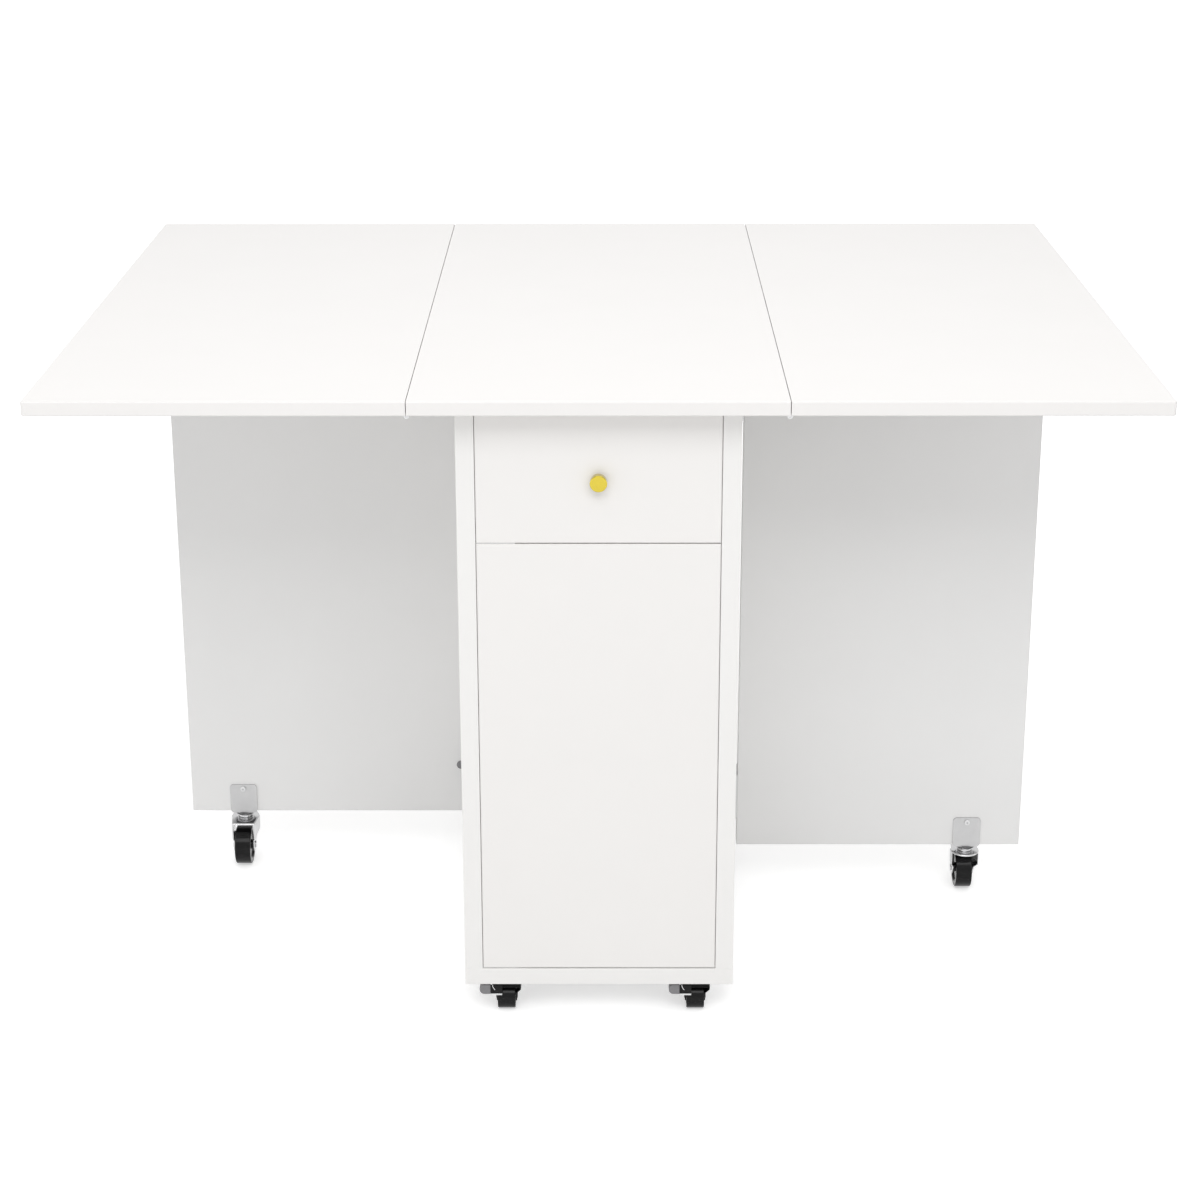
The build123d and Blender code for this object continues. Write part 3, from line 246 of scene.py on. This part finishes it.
# Drawer slides, shelf pins and door pivots. Pressed steel with a pale zinc coat, which is dull,
# faintly clouded and marked with fine rubbing lines.
def plated_steel(name, colour, shaded, gloss, line_depth):
    """Zinc or chrome on steel, with clouding in its sheen and fine rubbing lines."""
    material, surface, place = start_material(name)
    cloud = blotches(place, size=0.012, detail=3.0)
    lines = blotches(stretched(place, (5000.0, 300.0, 900.0)), size=1.0, detail=2.0)
    feed(surface, "Base Color", tint(place, cloud, colour, shaded))
    feed(surface, "Roughness", gloss + 0.12 * cloud + 0.06 * lines)
    surface.inputs["Metallic"].default_value = 1.0
    emboss(surface, lines, strength=line_depth, distance=0.0001)
    return material


zinc = plated_steel(
    "zinc plate", colour=(0.66, 0.66, 0.66), shaded=(0.6, 0.605, 0.61), gloss=0.36, line_depth=0.15
)
finish_nodes(
    zinc,
    "slide_outer_members",
    "slide_middle_members",
    "slide_inner_members",
    "door_pivot_plates",
)


def take(piece):
    """Selects a piece alone and makes it the active one."""
    bpy.ops.object.select_all(action="DESELECT")
    piece.select_set(True)
    bpy.context.view_layer.objects.active = piece


def put_in(name, data):
    """A new object in the scene with that mesh, curve, lamp or camera."""
    piece = bpy.data.objects.new(name, data)
    bpy.context.scene.collection.objects.link(piece)
    return piece


def soften(piece, width, steps=3, angle=30.0):
    """Rounds the sharp edges of a piece and shades it smooth, with its flat faces kept flat.

    A width of 0 leaves its edges as they are."""
    take(piece)
    if width:
        rounding = piece.modifiers.new("Rounding", "BEVEL")
        rounding.width = width
        rounding.segments = steps
        rounding.limit_method = "ANGLE"
        rounding.angle_limit = math.radians(angle)
        rounding.use_clamp_overlap = False
        bpy.ops.object.modifier_apply(modifier=rounding.name)
    bpy.ops.object.shade_smooth_by_angle(angle=math.radians(angle))
    shading = piece.modifiers.new("Flat faces", "WEIGHTED_NORMAL")
    shading.keep_sharp = True
    bpy.ops.object.modifier_apply(modifier=shading.name)


def weld_copy(node_name, piece_name):
    """A copy of a CAD solid whose faces are joined along their edges."""
    piece = put_in(piece_name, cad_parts[node_name].data.copy())
    take(piece)
    bpy.ops.mesh.customdata_custom_splitnormals_clear()
    bpy.ops.object.mode_set(mode="EDIT")
    bpy.ops.mesh.select_all(action="SELECT")
    bpy.ops.mesh.remove_doubles(threshold=0.000002)
    bpy.ops.object.mode_set(mode="OBJECT")
    return piece


def dress(piece, material, body, slot_name, *stands_for):
    """Gives a new piece its material, its body and the CAD solids it stands for, which it hides. The
    slot name is not used.
    """
    piece.data.materials.clear()
    piece.data.materials.append(material)
    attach(piece, body)
    if stands_for:
        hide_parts(*stands_for)


shelf_pins = weld_copy("shelf_pins", "shelf_support_pins")
soften(shelf_pins, width=0.0004)
dress(shelf_pins, zinc, "cabinet", "zinc_steel", "shelf_pins")


# Screws and bolts. Cold headed steel, zinc plated, with a cross recess pressed in each screw
# head and a hexagon socket in the bolts that come up through the base.
def head_places(piece):
    """The middle, outward direction and radius of every head among a piece's loose fasteners."""
    same_level = 0.00001
    smallest_head = 0.0015
    loose = put_in("loose", piece.data.copy())
    take(loose)
    bpy.ops.mesh.separate(type="LOOSE")
    heads = []
    for fastener in bpy.context.selected_objects:
        points = [vertex.co for vertex in fastener.data.vertices]
        ends = [[end_of(point[axis] for point in points) for axis in range(3)] for end_of in (min, max)]
        long_axis = max(range(3), key=lambda axis: ends[1][axis] - ends[0][axis])
        for end, way in zip(ends, (-1.0, 1.0)):
            head = Vector((low + high) / 2 for low, high in zip(*ends))
            head[long_axis] = end[long_axis]
            rim = [point for point in points if abs(point[long_axis] - end[long_axis]) < same_level]
            radius = max((point - head).length for point in rim)
            if radius > smallest_head:
                direction = Vector((0.0, 0.0, 0.0))
                direction[long_axis] = way
                heads.append((head, direction, radius))
        bpy.data.objects.remove(fastener)
    return heads


def pick(piece, parts, test):
    """Selects the faces or edges of a piece whose middles pass a test, and leaves it in edit mode."""
    bpy.ops.object.mode_set(mode="EDIT")
    bpy.ops.mesh.select_mode(type="FACE" if parts == "polygons" else "EDGE")
    bpy.ops.mesh.select_all(action="DESELECT")
    bpy.ops.object.mode_set(mode="OBJECT")
    for part in getattr(piece.data, parts):
        ends = [piece.data.vertices[index].co for index in part.vertices]
        part.select = test(sum(ends, Vector()) / len(ends))
    bpy.ops.object.mode_set(mode="EDIT")


def cross_punch():
    """The tip of a cross screwdriver, flat on the floor's middle, for a head of radius 1.

    It is a grid of nine squares with a narrowed middle row and column and no corner squares."""
    bpy.ops.object.select_all(action="DESELECT")
    bpy.ops.mesh.primitive_grid_add(x_subdivisions=3, y_subdivisions=3, size=1.2)
    punch = bpy.context.object
    inner_line = 0.3
    narrowing = 0.65
    for vertex in punch.data.vertices:
        vertex.co = [narrowing * part if abs(part) < inner_line else part for part in vertex.co]
    off_centre = 0.1
    pick(punch, "polygons", lambda middle: min(abs(middle[0]), abs(middle[1])) > off_centre)
    bpy.ops.mesh.delete(type="FACE")
    return punch


def hexagon_punch():
    """The end of a hexagon key, flat on the floor's middle, for a head of radius 1."""
    bpy.ops.object.select_all(action="DESELECT")
    bpy.ops.mesh.primitive_circle_add(vertices=6, radius=0.5, fill_type="NGON")
    bpy.ops.object.mode_set(mode="EDIT")
    return bpy.context.object


def press_recesses(piece, start_punch, taper):
    """Presses a recess into every head of a piece. Lengths of the punch are in head radii."""
    punch_long = 0.5
    left_outside = 0.05
    heads = head_places(piece)
    punch = start_punch()
    bpy.ops.mesh.select_all(action="SELECT")
    bpy.ops.mesh.extrude_region_move(TRANSFORM_OT_translate={"value": (0.0, 0.0, -punch_long)})
    bpy.ops.transform.resize(value=(taper, taper, 1.0), center_override=(0.0, 0.0, -punch_long))
    bpy.ops.mesh.select_all(action="SELECT")
    bpy.ops.transform.translate(value=(0.0, 0.0, left_outside))
    bpy.ops.mesh.normals_make_consistent(inside=False)
    bpy.ops.object.mode_set(mode="OBJECT")
    punches = []
    for head, direction, radius in heads:
        one = put_in("punch", punch.data.copy())
        turn = direction.to_track_quat("Z", "Y").to_matrix().to_4x4()
        one.data.transform(Matrix.Translation(head) @ turn @ Matrix.Scale(radius, 4))
        punches.append(one)
    bpy.data.objects.remove(punch)
    take(punches[0])
    for one in punches:
        one.select_set(True)
    bpy.ops.object.join()
    press = piece.modifiers.new("Recesses", "BOOLEAN")
    press.operation = "DIFFERENCE"
    press.solver = "EXACT"
    press.object = punches[0]
    take(piece)
    bpy.ops.object.modifier_apply(modifier=press.name)
    bpy.data.objects.remove(punches[0])
    soften(piece, width=0.0)


for node_name, body in (
    ("cabinet_screws", "cabinet"),
    ("left_leaf_screws", "left_leaf_body"),
    ("right_leaf_screws", "right_leaf_body"),
    ("left_gate_fasteners", "left_gate"),
    ("right_gate_fasteners", "right_gate"),
):
    screws = weld_copy(node_name, node_name + "_recessed")
    press_recesses(screws, cross_punch, taper=0.6)
    dress(screws, zinc, body, "zinc_steel", node_name)
bolts = weld_copy("assembly_bolts", "assembly_bolts_recessed")
press_recesses(bolts, hexagon_punch, taper=1.0)
dress(bolts, zinc, "cabinet", "zinc_steel", "assembly_bolts")

# Hinges of the leaves and the gates. Stamped leaves rolled round a pin, zinc plated, with
# their cut edges tumbled smooth.
for node_name, body in (
    ("table_hinge_fixed_leaves", "cabinet"),
    ("left_leaf_hinge_leaves", "left_leaf_body"),
    ("right_leaf_hinge_leaves", "right_leaf_body"),
    ("gate_hinge_brackets", "cabinet"),
    ("left_gate_hinge_leaves", "left_gate"),
    ("right_gate_hinge_leaves", "right_gate"),
    ("hinge_pins", "cabinet"),
):
    steel = weld_copy(node_name, node_name + "_steel")
    soften(steel, width=0.0002, steps=2)
    dress(steel, zinc, body, "zinc_steel", node_name)


# Glides, latch and hinge cap. Moulded plastic with rounded edges and a fine spark texture. The
# glides are screwed on top of the gates, and the latch under the divider shelf.
def moulded(name, colour, gloss, grain, specular=0.5):
    """Moulded plastic with a fine even grain and slightly uneven sheen."""
    material, surface, place = start_material(name)
    fine = blotches(place, size=grain)
    wide = blotches(place, size=0.01)
    darker = tuple(0.9 * part for part in colour)
    feed(surface, "Base Color", tint(place, wide, colour, darker))
    feed(surface, "Roughness", gloss + 0.1 * wide + 0.05 * fine)
    emboss(surface, fine, strength=0.12, distance=0.0001)
    surface.inputs["Specular IOR Level"].default_value = specular
    return material


white_plastic = moulded("white plastic", colour=(0.82, 0.82, 0.82), gloss=0.4, grain=0.0006)
grey_plastic = moulded("grey plastic", colour=(0.22, 0.217, 0.225), gloss=0.35, grain=0.0006)
for node_name, body, edge_round in (
    ("left_gate_glide", "left_gate", 0.0),
    ("right_gate_glide", "right_gate", 0.0),
    ("push_latch_body", "cabinet", 0.0008),
    ("latch_plunger", "plunger", 0.0006),
):
    plastic = weld_copy(node_name, node_name + "_moulding")
    soften(plastic, width=edge_round)
    dress(plastic, white_plastic, body, "white_plastic", node_name)
cap = weld_copy("hinge_cap", "hinge_cap_moulding")
soften(cap, width=0.0)
dress(cap, grey_plastic, "left_gate", "grey_plastic", "hinge_cap")


# Knob. A small turned brass button, satin gold, with a flat face, a narrow rounded edge and a
# collar against the drawer front. A machine screw from behind holds it.
def turn_piece(name, stations, centre, direction, sides=64):
    """A turned piece, drawn out along its axis from station to station: (distance, radius) in metres.

    Stations that end where they start leave a bore through the piece."""
    bpy.ops.object.select_all(action="DESELECT")
    start, radius = stations[0]
    fill = "NOTHING" if stations[-1] == stations[0] else "NGON"
    bpy.ops.mesh.primitive_circle_add(
        vertices=sides, radius=radius, fill_type=fill, location=(0.0, 0.0, start)
    )
    piece = bpy.context.object
    piece.name = name
    bpy.ops.object.mode_set(mode="EDIT")
    bpy.ops.mesh.select_mode(type="VERT")
    bpy.ops.mesh.select_all(action="SELECT")
    for station, wide in stations[1:]:
        move = {"value": (0.0, 0.0, station - start)}
        bpy.ops.mesh.extrude_region_move(TRANSFORM_OT_translate=move)
        grow = wide / radius
        bpy.ops.transform.resize(value=(grow, grow, 1.0), center_override=(0.0, 0.0, station))
        start, radius = station, wide
    bpy.ops.mesh.select_all(action="SELECT")
    bpy.ops.mesh.remove_doubles(threshold=0.000001)
    bpy.ops.mesh.normals_make_consistent(inside=False)
    bpy.ops.object.mode_set(mode="OBJECT")
    axis, angle = {"X": ("Y", 90.0), "-Y": ("X", 90.0), "-Z": ("X", 180.0)}[direction]
    piece.data.transform(piece.matrix_world)
    piece.data.transform(Matrix.Translation(centre) @ Matrix.Rotation(math.radians(angle), 4, axis))
    piece.matrix_world = Matrix.Identity(4)
    return piece


def satin_gold():
    """Satin gold lacquer on brass: turning rings too fine to see singly, and a clouded sheen."""
    material, surface, place = start_material("satin gold")
    cloud = blotches(place, size=0.004)
    feed(surface, "Base Color", tint(place, cloud, (0.53, 0.42, 0.02), (0.5, 0.39, 0.016)))
    feed(surface, "Roughness", 0.2 + 0.1 * cloud)
    surface.inputs["Metallic"].default_value = 1.0
    surface.inputs["Coat Weight"].default_value = 1.0
    surface.inputs["Coat Roughness"].default_value = 0.1
    emboss(surface, blotches(place, size=0.0004, detail=1.0), strength=0.05, distance=0.0001)
    return material


knob_low, knob_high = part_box("drawer_knob")
drawer_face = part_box("drawer_front")[0][deep]
knob_centre = (0.0, drawer_face, (knob_low[upright] + knob_high[upright]) / 2)
knob_stations = [
    (-0.0182, 0.0036),
    (-0.0182, 0.0040),
    (-0.0160, 0.0040),
    (-0.0160, 0.0020),
    (0.0, 0.0020),
    (0.0, 0.0062),
    (0.0010, 0.0062),
    (0.0016, 0.0050),
    (0.0032, 0.0050),
    (0.0040, 0.0088),
    (0.0046, 0.0093),
    (0.0114, 0.0093),
    (0.0119, 0.0088),
    (0.0120, 0.0083),
    (0.0120, 0.0004),
]
knob = turn_piece("knob", knob_stations, knob_centre, "-Y")
soften(knob, width=0.0001, steps=2)
dress(knob, satin_gold(), "drawer", "gold_metal", "drawer_knob")


# Saddles of the gates. A light grey steel plate folded round the bottom edge of each gate, with
# an oiled ball race, painted near black as shade in the gap under the plate, and a bright stepped cup
# under it, in which the fork turns.
def middle_of(node_name):
    """The middle of a CAD solid's box."""
    low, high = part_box(node_name)
    return (low + high) / 2


saddle_steel = plated_steel(
    "saddle zinc", colour=(0.53, 0.53, 0.53), shaded=(0.49, 0.49, 0.495), gloss=0.42, line_depth=0.1
)
# The race's oiled steel, with painted shade: its colour is near black for the shade between the plate
# and the cup.
race_steel_painted_shade = plated_steel(
    "oiled steel painted shade", colour=(0.11, 0.11, 0.112), shaded=(0.08, 0.08, 0.082), gloss=0.35, line_depth=0.1
)
chrome = plated_steel(
    "chrome", colour=(0.62, 0.62, 0.625), shaded=(0.56, 0.56, 0.565), gloss=0.08, line_depth=0.03
)
saddle_thick = 0.002
cut_below_plate = 0.0001
race_stations = [(0.0, 0.0118), (0.0003, 0.0124), (0.0022, 0.0124), (0.0025, 0.0118)]
cup_stations = [
    (0.0023, 0.0100),
    (0.0025, 0.0106),
    (0.0032, 0.0108),
    (0.0040, 0.0102),
    (0.0045, 0.0086),
    (0.0050, 0.0082),
    (0.0056, 0.0092),
    (0.0070, 0.0094),
    (0.0079, 0.0088),
    (0.0080, 0.0080),
]
for side in ("left", "right"):
    body = side + "_gate"
    saddle = weld_copy(side + "_gate_saddle", side + "_gate_saddle_plate")
    saddle_low, saddle_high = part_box(side + "_gate_saddle")
    plate_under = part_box(side + "_gate_panel")[0][upright] - saddle_thick
    bpy.ops.object.mode_set(mode="EDIT")
    bpy.ops.mesh.select_all(action="SELECT")
    bpy.ops.mesh.bisect(
        plane_co=(0.0, 0.0, plate_under - cut_below_plate),
        plane_no=(0.0, 0.0, 1.0),
        use_fill=True,
        clear_inner=True,
    )
    bpy.ops.object.mode_set(mode="OBJECT")
    soften(saddle, width=0.0)
    dress(saddle, saddle_steel, body, "zinc_steel", side + "_gate_saddle")
    under = (
        (saddle_low[across] + saddle_high[across]) / 2,
        (saddle_low[deep] + saddle_high[deep]) / 2,
        plate_under,
    )
    race = turn_piece(side + "_gate_race", race_stations, under, "-Z")
    soften(race, width=0.0001, steps=2)
    dress(race, race_steel_painted_shade, body, "zinc_steel", side + "_gate_saddle")
    cup = turn_piece(side + "_gate_cup", cup_stations, under, "-Z")
    soften(cup, width=0.0001, steps=2, angle=60.0)
    dress(cup, chrome, body, "chrome_steel", side + "_gate_saddle")

# Forks of the gate casters. Pressed steel, bright chromed, riveted to the saddle's cup and
# pierced for the axle.
for side in ("left", "right"):
    fork = weld_copy(side + "_gate_fork", side + "_gate_chrome_fork")
    soften(fork, width=0.0004, angle=32.0)
    dress(fork, chrome, side + "_gate_fork_body", "chrome_steel", side + "_gate_fork")


# Wheels of the gate casters. Moulded black wheels with a hard rounded tread, a sunk face and
# a hub that runs between the fork's cheeks.
def both_faces(left_half):
    """All the stations of a bored wheel from those of its left half, which begin at the bore."""
    right_half = [(-distance, radius) for distance, radius in reversed(left_half)]
    return left_half + right_half + left_half[:1]


def place_wheels(stations, *casters):
    """Turns one wheel and copies it to every caster of those names."""
    first = middle_of(casters[0] + "_wheel")
    pattern = turn_piece("wheel pattern", stations, first, "X")
    soften(pattern, width=0.0003, steps=2)
    for caster in casters:
        wheel = put_in(caster + "_tyre", pattern.data.copy())
        wheel.data.transform(Matrix.Translation(middle_of(caster + "_wheel") - first))
        dress(wheel, black_rubber, caster + "_wheel_body", "black_wheel", caster + "_wheel")
    bpy.data.objects.remove(pattern)


black_shade = (0.006, 0.006, 0.0062)
black_rubber = moulded("black wheel", black_shade, gloss=0.1, grain=0.0005, specular=0.18)
gate_wheel_half = [
    (-0.0114, 0.0031),
    (-0.0114, 0.0055),
    (-0.0082, 0.0060),
    (-0.0080, 0.0175),
    (-0.0098, 0.0185),
    (-0.0100, 0.0222),
    (-0.0099, 0.0236),
    (-0.0095, 0.0243),
    (-0.0088, 0.0245),
]
place_wheels(both_faces(gate_wheel_half), "left_gate", "right_gate")

# Cabinet casters. Black painted plates and forks, with smaller wheels of the same moulding.
# The plates are screwed up into the base board.
black_paint = moulded("black paint", black_shade, gloss=0.28, grain=0.0008, specular=0.18)
caster_wheel_half = [
    (-0.0104, 0.0026),
    (-0.0104, 0.0045),
    (-0.0084, 0.0050),
    (-0.0082, 0.0100),
    (-0.0100, 0.0106),
    (-0.0102, 0.0132),
    (-0.0101, 0.0142),
    (-0.0098, 0.0148),
    (-0.0092, 0.0150),
]
cabinet_casters = ("front_left", "front_right", "back_left", "back_right")
plates = weld_copy("caster_plates", "caster_plates_painted")
soften(plates, width=0.0003, steps=2)
dress(plates, black_paint, "cabinet", "black_steel", "caster_plates")
for caster in cabinet_casters:
    fork = weld_copy(caster + "_fork", caster + "_black_fork")
    soften(fork, width=0.0003, steps=2, angle=32.0)
    dress(fork, black_paint, caster + "_fork_body", "black_steel", caster + "_fork")
place_wheels(both_faces(caster_wheel_half), *cabinet_casters)


# Brakes of the front casters. A black steel plate rocks on the fork's cross pin, with a bright
# lower edge, a grey plastic tab at the side to press, and a bent wire spring over it.
def block(name, origin, low, high):
    """A block between two corners that are given from an origin."""
    low = [start + part for start, part in zip(origin, low)]
    high = [start + part for start, part in zip(origin, high)]
    bpy.ops.object.select_all(action="DESELECT")
    middle = [(a + b) / 2 for a, b in zip(low, high)]
    bpy.ops.mesh.primitive_cube_add(size=1.0, location=middle)
    piece = bpy.context.object
    piece.name = name
    piece.scale = [b - a for a, b in zip(low, high)]
    bpy.ops.object.transform_apply(location=True, rotation=True, scale=True)
    return piece


def round_tab(tab, swivel):
    """Rounds the outer end of a tab at its top and bottom."""
    outer_x = swivel[across] + tab_low[across]
    middle_z = (tab_low[upright] + tab_high[upright]) / 2
    near = 0.001

    def is_end_edge(middle):
        return middle[across] < outer_x + near and abs(middle[upright] - middle_z) > near

    pick(tab, "edges", is_end_edge)
    bpy.ops.mesh.bevel(offset=0.0055, segments=10, affect="EDGES")
    bpy.ops.object.mode_set(mode="OBJECT")


def bend_wire(name, places, radius):
    """A round wire bent smoothly along those places."""
    wire = bpy.data.curves.new(name, "CURVE")
    wire.dimensions = "3D"
    wire.bevel_depth = radius
    wire.bevel_resolution = 4
    wire.use_fill_caps = True
    spline = wire.splines.new("NURBS")
    spline.points.add(len(places) - 1)
    for point, place in zip(spline.points, places):
        point.co = (*place, 1.0)
    spline.order_u = 3
    spline.use_endpoint_u = True
    take(put_in(name, wire))
    bpy.ops.object.convert(target="MESH")
    return bpy.context.object


# Places of one brake's pieces in metres, from the fork's swivel axis at floor level.
wheel_trail = 0.015
tab_low, tab_high = (-0.0306, -0.031, 0.0244), (-0.0181, -0.0225, 0.0364)
lever_low, lever_high = (-0.0182, -0.031, 0.025), (-0.0048, -0.0292, 0.036)
web_low, web_high = (-0.013, -0.0296, 0.0283), (-0.005, -0.0236, 0.0321)
lip_low, lip_high = (-0.0181, -0.031, 0.0231), (-0.0048, -0.0302, 0.0253)
barrel_centre = (-0.009, -0.024, 0.0302)
barrel_stations = [(-0.004, 0.0018), (-0.0037, 0.0022), (0.0037, 0.0022), (0.004, 0.0018)]
spring_bends = [
    (-0.0140, -0.0252, 0.0331),
    (-0.0148, -0.0275, 0.0368),
    (-0.0158, -0.0312, 0.0364),
    (-0.0153, -0.0313, 0.0335),
    (-0.0130, -0.0313, 0.0302),
]
spring_wire_radius = 0.0005
for caster in ("front_left", "front_right"):
    body = caster + "_brake_body"
    brake = caster + "_brake"
    swivel = (middle_of(caster + "_fork")[across], middle_of(caster + "_wheel")[deep] + wheel_trail, 0.0)

    tab = block(caster + "_tab", swivel, tab_low, tab_high)
    round_tab(tab, swivel)
    soften(tab, width=0.0007)
    dress(tab, grey_plastic, body, "grey_plastic", brake)

    plate = block(caster + "_lever", swivel, lever_low, lever_high)
    soften(plate, width=0.0004)
    dress(plate, black_paint, body, "black_steel", brake)
    web = block(caster + "_lever_web", swivel, web_low, web_high)
    soften(web, width=0.0004)
    dress(web, black_paint, body, "black_steel", brake)
    centre = [start + part for start, part in zip(swivel, barrel_centre)]
    barrel = turn_piece(caster + "_lever_barrel", barrel_stations, centre, "X", sides=32)
    soften(barrel, width=0.0)
    dress(barrel, black_paint, body, "black_steel", brake)
    lip = block(caster + "_lever_lip", swivel, lip_low, lip_high)
    soften(lip, width=0.0003)
    dress(lip, zinc, body, "zinc_steel", brake)

    bends = [[start + part for start, part in zip(swivel, bend)] for bend in spring_bends]
    spring = bend_wire(caster + "_brake_spring", bends, spring_wire_radius)
    dress(spring, chrome, body, "zinc_steel", brake)

# Studio. A white floor that keeps soft shadows and grows white away from the object, a white
# surround, and soft lamps above, in front, behind and at both sides.
bpy.ops.object.select_all(action="DESELECT")
bpy.ops.mesh.primitive_plane_add(size=60.0, location=(0.0, 0.0, 0.0))
floor = bpy.context.object
floor.name = "studio_floor"


def seen_rays(tree):
    """1 for what the camera, a reflection or a clear material sees, and 0 for light on the object."""
    path = tree.nodes.new("ShaderNodeLightPath")
    names = ("Is Camera Ray", "Is Glossy Ray", "Is Transmission Ray")
    camera_ray, glossy_ray, clear_ray = (Wire(tree, path.outputs[name]) for name in names)
    return camera_ray.work_out("MINIMUM", camera_ray + glossy_ray + clear_ray, 1.0)


floor_paint = bpy.data.materials.new("studio floor")
floor_paint.use_nodes = True
floor_tree = floor_paint.node_tree
floor_tree.nodes.clear()
floor_seen = seen_rays(floor_tree)
floor_place = Wire(floor_tree, floor_tree.nodes.new("ShaderNodeTexCoord").outputs["Object"])
length_out = 1
away = floor_place.add_node(
    "ShaderNodeVectorMath", {"operation": "LENGTH"}, {0: floor_place}, length_out
)
fade_settings = {"interpolation_type": "SMOOTHSTEP"}
fade_inputs = {"Value": away, "From Min": 0.7, "From Max": 4.0, "To Min": 0.5, "To Max": 0.9}
glow = away.add_node("ShaderNodeMapRange", fade_settings, fade_inputs)
floor_diffuse = glow.add_node("ShaderNodeBsdfDiffuse", {}, {"Color": (0.8, 0.8, 0.8, 1.0)})
floor_glow = glow.add_node("ShaderNodeEmission", {}, {"Strength": glow * floor_seen})
floor_sum = glow.add_node("ShaderNodeAddShader", {}, {0: floor_diffuse, 1: floor_glow})
floor_out = floor_tree.nodes.new("ShaderNodeOutputMaterial")
floor_tree.links.new(floor_sum.socket, floor_out.inputs["Surface"])
floor.data.materials.append(floor_paint)

world = bpy.data.worlds.new("studio surround")
bpy.context.scene.world = world
world.use_nodes = True
world_tree = world.node_tree
world_tree.nodes.clear()
world_seen = seen_rays(world_tree)
light_strength = 0.64
still_to_white = 0.36
surround_strength = light_strength + still_to_white * world_seen
surround_inputs = {"Color": (1.0, 1.0, 1.0, 1.0), "Strength": surround_strength}
surround = world_seen.add_node("ShaderNodeBackground", {}, surround_inputs)
world_out = world_tree.nodes.new("ShaderNodeOutputWorld")
world_tree.links.new(surround.socket, world_out.inputs["Surface"])


def soft_lamp(name, place, aim, size, watts):
    """A large soft lamp at a place, facing a point."""
    lamp_data = bpy.data.lights.new(name, "AREA")
    lamp_data.shape = "RECTANGLE"
    lamp_data.size, lamp_data.size_y = size
    lamp_data.energy = watts
    lamp = put_in(name, lamp_data)
    direction = Vector(aim) - Vector(place)
    turn = direction.to_track_quat("-Z", "Y").to_matrix().to_4x4()
    lamp.matrix_world = Matrix.Translation(place) @ turn
    lamp.visible_camera = False


table_middle = (0.0, 0.0, 0.7)
gate_middle = (0.0, 0.0, 0.4)
soft_lamp("lamp above", (0.0, -0.2, 3.2), table_middle, size=(3.0, 3.0), watts=21.0)
soft_lamp("lamp above front", (0.0, -2.6, 3.0), table_middle, size=(2.5, 1.4), watts=37.0)
soft_lamp("lamp front left", (-3.0, -3.6, 0.9), gate_middle, size=(2.0, 1.4), watts=10.0)
soft_lamp("lamp front right", (2.2, -3.4, 2.4), gate_middle, size=(2.0, 1.6), watts=7.0)
soft_lamp("lamp left", (-4.0, -0.8, 1.2), gate_middle, size=(2.0, 2.0), watts=11.0)
soft_lamp("lamp right", (4.0, -0.8, 1.2), gate_middle, size=(2.0, 2.0), watts=8.0)
soft_lamp("lamp behind", (0.0, 4.5, 0.4), gate_middle, size=(3.0, 0.5), watts=14.0)

# Camera. Its place, pitch and lens are worked out from the corners of the table top, and its
# small downward shift from where the photograph's middle lies.
camera_data = bpy.data.cameras.new("camera")
camera_data.sensor_width = 36.0
camera_data.lens = 70.63
camera_data.shift_y = -0.15
camera_place = (0.0070, -2.7579, 1.4487)
camera_heading = math.radians(0.129)
camera_pitch = math.radians(90.0 - 17.277)
camera_roll = math.radians(-0.054)
camera = put_in("camera", camera_data)
camera.matrix_world = (
    Matrix.Translation(camera_place)
    @ Matrix.Rotation(camera_heading, 4, "Z")
    @ Matrix.Rotation(camera_pitch, 4, "X")
    @ Matrix.Rotation(camera_roll, 4, "Z")
)
bpy.context.scene.camera = camera
bpy.context.scene.view_settings.view_transform = "Standard"
